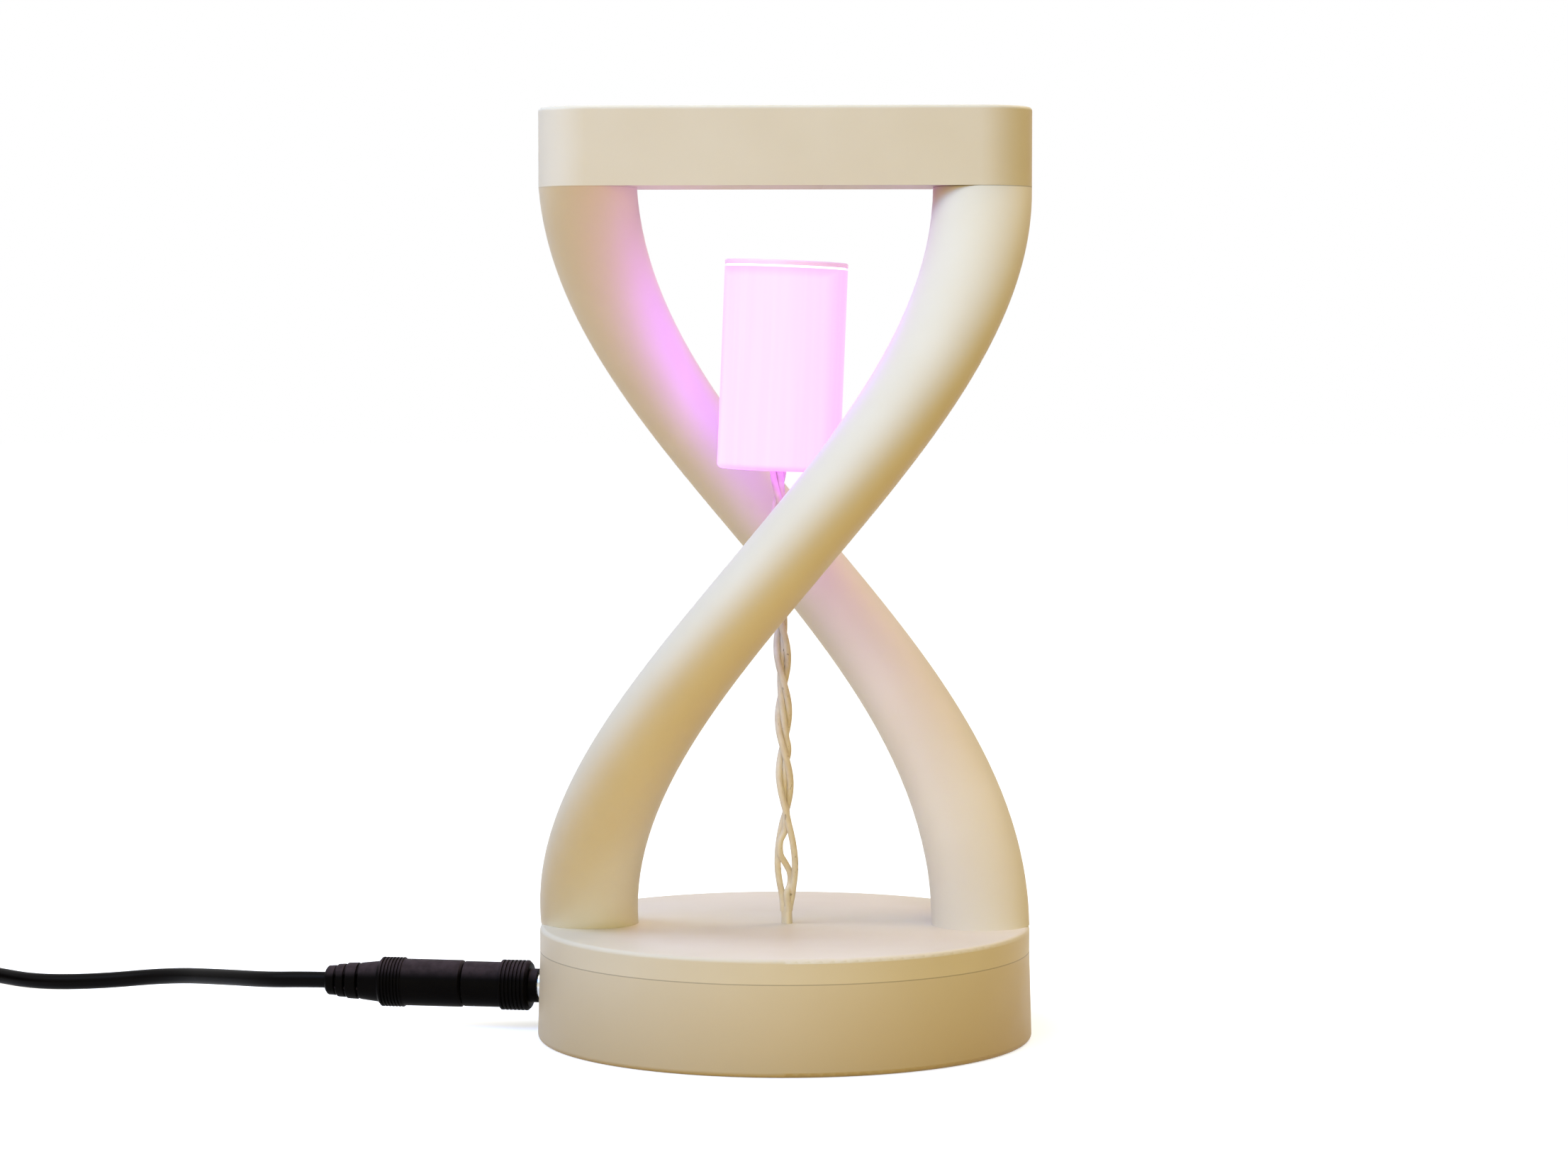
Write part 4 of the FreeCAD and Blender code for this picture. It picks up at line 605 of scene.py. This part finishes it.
def make_tie():
    """Hook-and-loop tape with soft edges, as wide as it is curved round the coil."""
    half = TIE_WIDTH / 2
    section = [(-half + TIE_EDGE, 0), (half - TIE_EDGE, 0), (half, TIE_EDGE), (half, TIE_THICK - TIE_EDGE),
               (half - TIE_EDGE, TIE_THICK), (-half + TIE_EDGE, TIE_THICK),
               (-half, TIE_THICK - TIE_EDGE), (-half, TIE_EDGE)]
    shape = bmesh.new()
    rings = []
    for spot, way, lift in tie_path():
        ring = []
        for along, out in section:
            place = spot + way * (out + lift)
            angle = TIE_AT + along / COIL_RADIUS
            corner = Vector((place.x * math.cos(angle), place.x * math.sin(angle), place.y))
            ring.append(shape.verts.new(COIL_MIDDLE + corner))
        rings.append(ring)
    skin(shape, rings)
    shape.faces.new(rings[0])
    shape.faces.new(rings[-1])
    return settle(finish_mesh("coil_strap", shape), "lead", "tie_fabric", "cord_tie")


# Shapes in mesh code

def skin(shape, rings):
    """Faces between each ring of corners and the next. A ring of one corner is a tip."""
    for one, other in zip(rings, rings[1:]):
        for side in range(max(len(one), len(other))):
            following = side + 1
            corners = [one[side % len(one)], one[following % len(one)],
                       other[following % len(other)], other[side % len(other)]]
            shape.faces.new(list(dict.fromkeys(corners)))


def finish_mesh(name, shape):
    """A smooth mesh object whose flat faces stay flat beside small rounds."""
    bmesh.ops.recalc_face_normals(shape, faces=shape.faces)
    data = bpy.data.meshes.new(name)
    shape.to_mesh(data)
    shape.free()
    for face in data.polygons:
        face.use_smooth = True
    thing = bpy.data.objects.new(name, data)
    bpy.context.scene.collection.objects.link(thing)
    thing.modifiers.new("weighted", "WEIGHTED_NORMAL").keep_sharp = True
    return thing


def soften(outline, size, steps=3):
    """The outline with each of its corners rounded by about that much."""
    spots = [Vector(spot) for spot in outline]
    eased = [spots[0]]
    for before, here, after in zip(spots, spots[1:], spots[2:]):
        back, ahead = before - here, after - here
        start = here + back.normalized() * min(size, back.length * 0.45)
        end = here + ahead.normalized() * min(size, ahead.length * 0.45)
        for step in range(steps + 1):
            part = step / steps
            eased.append(start * (1 - part) ** 2 + here * 2 * part * (1 - part) + end * part ** 2)
    return eased + [spots[-1]]


def turn_piece(name, outline, radius_at=None, sides=96):
    """A piece turned about the jack's axis, from (distance, radius) pairs in millimetres."""
    up = Vector((0, 0, 1))
    across = OUTWARD.cross(up)
    shape = bmesh.new()
    rings = []
    for distance, radius in outline:
        centre = jack_point(distance * MM)
        if radius < 1e-6:
            rings.append([shape.verts.new(centre)])
            continue
        ring = []
        for side in range(sides):
            angle = math.tau * side / sides
            own = radius_at(distance, radius, angle) if radius_at else radius
            way = across * math.cos(angle) + up * math.sin(angle)
            ring.append(shape.verts.new(centre + way * own * MM))
        rings.append(ring)
    skin(shape, rings)
    return finish_mesh(name, shape)


# Adapter tip and the lead's plug: distances from the lamp's axis and radii, in millimetres

BARREL = 2.75
CORNER = 0.11
GROOVE_WIDTH = 0.35
GROOVE_DEPTH = 0.4
GROOVE_COUNT = 6
# The strain relief: its start, which the plug's end covers, the radius where they join, and how far it
# reaches into the plug
RELIEF_START = 85.2
RELIEF_CORE = 2.5
RELIEF_ROOT = 0.4
RELIEF_CORNER = 0.2
# Each of its beads: its far end, its radius at its near and far side, and the drop of its rounded shoulder
RELIEF_BEADS = [(90.05, 4.3, 3.8), (92.8, 3.82, 3.72), (94.9, 3.5, 3.42), (97.0, 3.14, 3.04)]
SHOULDER_LENGTH = 0.5
SHOULDER_DROP = 0.6
# The windows at the beads' far ends, which face front and back: their length, half their angle in degrees,
# how soft their edges are along and round the relief, and how deep they go
WINDOW_LENGTH = 0.55
WINDOW_OVERRUN = 0.04
WINDOW_EDGE = 0.06
WINDOW_HALF_ANGLE = 26
WINDOW_EDGE_ANGLE = 2.5
WINDOW_FLOOR = 2.2


def grooves(low, pitch, radius):
    """The outline of a row of ring grooves."""
    outline = []
    for number in range(1, GROOVE_COUNT + 1):
        far = low + number * pitch
        outline += [(far - GROOVE_WIDTH, radius), (far - GROOVE_WIDTH, radius - GROOVE_DEPTH),
                    (far, radius - GROOVE_DEPTH), (far, radius)]
    return outline


def make_tip():
    """The adapter tip's moulding: a collar at the jack, a grip with ring grooves, and a plain body that is
    open at its far end."""
    start, flare, grip, body, end, floor = 51.5, 53.2, 53.8, 59.3, 67.2, 57.2
    collar_radius, flare_radius, grip_radius, body_radius, bore = 3.5, 4.6, 5.2, 4.68, 3.25
    outline = [(start, BARREL), (start, collar_radius), (flare, collar_radius), (flare, flare_radius)]
    outline += [(grip, grip_radius), *grooves(grip, 0.82, grip_radius), (body, grip_radius)]
    outline += [(body, body_radius), (end, body_radius), (end, bore), (floor, bore), (floor, 0)]
    settle(turn_piece("tip_moulding", soften(outline, CORNER)), "tip", "plug_plastic", "tip_body")


def make_plug():
    """The lead's own moulding: a plain body, and a grip with ring grooves at its far end."""
    start, body, grip, grip_end, end = 67.4, 67.9, 80.2, 84.8, 85.4
    nose_radius, body_radius, grip_radius, end_radius = 4.35, 4.86, 5.15, 4.45
    outline = [(start, BARREL), (start, nose_radius), (body, body_radius), (grip, body_radius)]
    outline += [(grip, grip_radius), *grooves(grip, 0.7, grip_radius), (grip_end, grip_radius)]
    outline += [(end, end_radius), (end, RELIEF_CORE)]
    settle(turn_piece("plug_moulding", soften(outline, CORNER)), "lead", "plug_plastic", "lead_plug_body")


def relief_outline():
    """The strain relief's taper in stepped beads, each with a rounded shoulder at its far end."""
    outline = []
    low = RELIEF_START
    for far, near_radius, far_radius in RELIEF_BEADS:
        outline += [(low, near_radius), (far - SHOULDER_LENGTH, far_radius),
                    (far, far_radius - SHOULDER_DROP)]
        low = far
    return outline + [(low, 0)]


def clamped(value):
    """The value, kept between 0 and 1."""
    return min(1.0, max(0.0, value))


def relief_radius(distance, radius, angle):
    """The radius at one place, less where a window is cut through to the cable's own sheath."""
    off_front = abs(math.remainder(angle, math.tau))
    off_back = abs(math.remainder(angle - math.pi, math.tau))
    around = clamped((WINDOW_HALF_ANGLE - math.degrees(min(off_front, off_back))) / WINDOW_EDGE_ANGLE)
    along = max(clamped(min(far + WINDOW_OVERRUN - distance, distance - far + WINDOW_LENGTH) / WINDOW_EDGE)
                for far, *_ in RELIEF_BEADS[:-1])
    return radius - max(0.0, radius - WINDOW_FLOOR) * around * along


def make_relief():
    """The strain relief, from its root inside the plug, is moulded finely enough for its windows to have
    clean edges."""
    fine_step, sides = 0.07, 144
    outline = soften(relief_outline(), RELIEF_CORNER)
    fine = [Vector((RELIEF_START - RELIEF_ROOT, RELIEF_CORE))]
    for one, other in zip(outline, outline[1:]):
        pieces = math.ceil((other - one).length / fine_step)
        fine += [one.lerp(other, number / pieces) for number in range(pieces)]
    relief = turn_piece("strain_relief", fine + [outline[-1]], relief_radius, sides)
    settle(relief, "lead", "plug_plastic", "lead_strain_relief")


# Camera, floor and light

CAMERA_SPOT = (30.4 * MM, -810.0 * MM, 137.4 * MM)
CAMERA_DOWN = 3.226
CAMERA_SIDEWAYS = 2.16
LENS = 91.5
SENSOR = 36.0


def make_camera():
    """The photo's own view, fitted to the lamp's outlines."""
    data = bpy.data.cameras.new("photo_camera")
    data.sensor_width = SENSOR
    data.lens = LENS
    data.clip_start = 0.01
    camera = bpy.data.objects.new("photo_camera", data)
    camera.location = CAMERA_SPOT
    camera.rotation_euler = (math.radians(90 - CAMERA_DOWN), 0, math.radians(CAMERA_SIDEWAYS))
    bpy.context.scene.collection.objects.link(camera)
    bpy.context.scene.camera = camera


def seen_or_mirrored(tree):
    """1 for rays from the camera, or that a glossy or clear surface sends on; 0 for rays of light."""
    path = add(tree, "ShaderNodeLightPath").outputs
    either = add(tree, "ShaderNodeMath", {0: path["Is Camera Ray"], 1: path["Is Glossy Ray"]},
                 operation="MAXIMUM")
    return add(tree, "ShaderNodeMath", {0: either, 1: path["Is Transmission Ray"]}, operation="MAXIMUM")


def make_world():
    """The white room, as the camera and glossy surfaces see it. The lamps give the light."""
    world = bpy.data.worlds.new("studio")
    bpy.context.scene.world = world
    world.use_nodes = True
    tree = world.node_tree
    tree.nodes.clear()
    light = add(tree, "ShaderNodeBackground", {"Color": linear("#F6E4C4"), "Strength": 0.02})
    backdrop = add(tree, "ShaderNodeBackground", {"Color": linear("#FFFFFF"), "Strength": 1.0})
    mixed = add(tree, "ShaderNodeMixShader", {0: seen_or_mirrored(tree), 1: light, 2: backdrop})
    add(tree, "ShaderNodeOutputWorld", {"Surface": mixed})


# The floor's half width, and the distances from the lamp's axis over which it fades to the backdrop's white
FLOOR_REACH = 6.0
FADE_FROM = 0.05
FADE_TO = 0.085


def make_floor():
    """A wide pale floor that fades into the white backdrop and keeps the lamp's shadow. It throws the warm
    light of the room back up at the lamp."""
    corners = [(x * FLOOR_REACH, y * FLOOR_REACH, 0) for x, y in ((-1, -1), (1, -1), (1, 1), (-1, 1))]
    data = bpy.data.meshes.new("floor")
    data.from_pydata(corners, [], [(0, 1, 2, 3)])
    floor = bpy.data.objects.new("floor", data)
    bpy.context.scene.collection.objects.link(floor)
    material = bpy.data.materials.new("pale_floor")
    material.use_nodes = True
    tree = material.node_tree
    tree.nodes.clear()
    seen = seen_or_mirrored(tree)
    place = add(tree, "ShaderNodeTexCoord").outputs["Object"]
    away = add(tree, "ShaderNodeVectorMath", {0: place}, operation="LENGTH")
    white = add(tree, "ShaderNodeMapRange",
                {"Value": away, "From Min": FADE_FROM, "From Max": FADE_TO, "To Min": 0.66},
                interpolation_type="SMOOTHSTEP")
    added = add(tree, "ShaderNodeMath", {0: seen, 1: white}, operation="MULTIPLY")
    colour = add(tree, "ShaderNodeMix", {"Factor": seen, "A": linear("#C79F50"), "B": linear("#C8D0E0")},
                 data_type="RGBA")
    plain = add(tree, "ShaderNodeBsdfDiffuse", {"Color": colour})
    lit = add(tree, "ShaderNodeEmission", {"Color": linear("#FFFFFF"), "Strength": added})
    summed = add(tree, "ShaderNodeAddShader", {0: plain, 1: lit})
    add(tree, "ShaderNodeOutputMaterial", {"Surface": summed})
    data.materials.append(material)


# Each lamp: which way it stands (degrees round from the front, degrees up), how far off, the length of its
# side, its colour and its power in watts
LAMPS = {
    "near_left": (-70, 40, 0.55, 0.35, (0.76, 0.86, 1.0), 1.57),
    "near_front_left": (-30, 45, 0.55, 0.35, (0.15, 0.37, 1.0), 1.15),
    "overhead": (0, 88, 1.5, 1.0, (0.98, 1.0, 0.86), 6.9),
    "back_right": (135, 50, 1.5, 1.0, (1.0, 0.77, 0.44), 10.4),
    "front": (0, 8, 1.5, 1.0, (1.0, 0.91, 0.5), 10.0),
    "front_right": (45, 8, 1.5, 1.0, (1.0, 0.72, 0.0), 2.7),
}
AIM = Vector((0, 0, 0.09))


def make_lamps():
    """Square lamps that all face the middle of the piece and don't show themselves."""
    for name, (round_from_front, up, distance, side, colour, power) in LAMPS.items():
        data = bpy.data.lights.new(name, "AREA")
        data.size = side
        data.color = colour
        data.energy = power
        lamp = bpy.data.objects.new(name, data)
        sideways, raised = math.radians(round_from_front), math.radians(up)
        way = Vector((math.sin(sideways) * math.cos(raised), -math.cos(sideways) * math.cos(raised),
                      math.sin(raised)))
        lamp.location = AIM + way * distance
        lamp.rotation_euler = way.to_track_quat("Z", "Y").to_euler()
        lamp.visible_camera = False
        bpy.context.scene.collection.objects.link(lamp)


def main():
    """The whole scene. The strap is made first of the new pieces, since the lead names it."""
    make_camera()
    make_world()
    make_floor()
    make_lamps()
    dress_nodes()
    make_lead(make_tie())
    make_wires()
    make_bundle()
    make_filler()
    make_tip()
    make_plug()
    make_relief()
    bpy.context.scene.view_settings.view_transform = "Standard"


main()
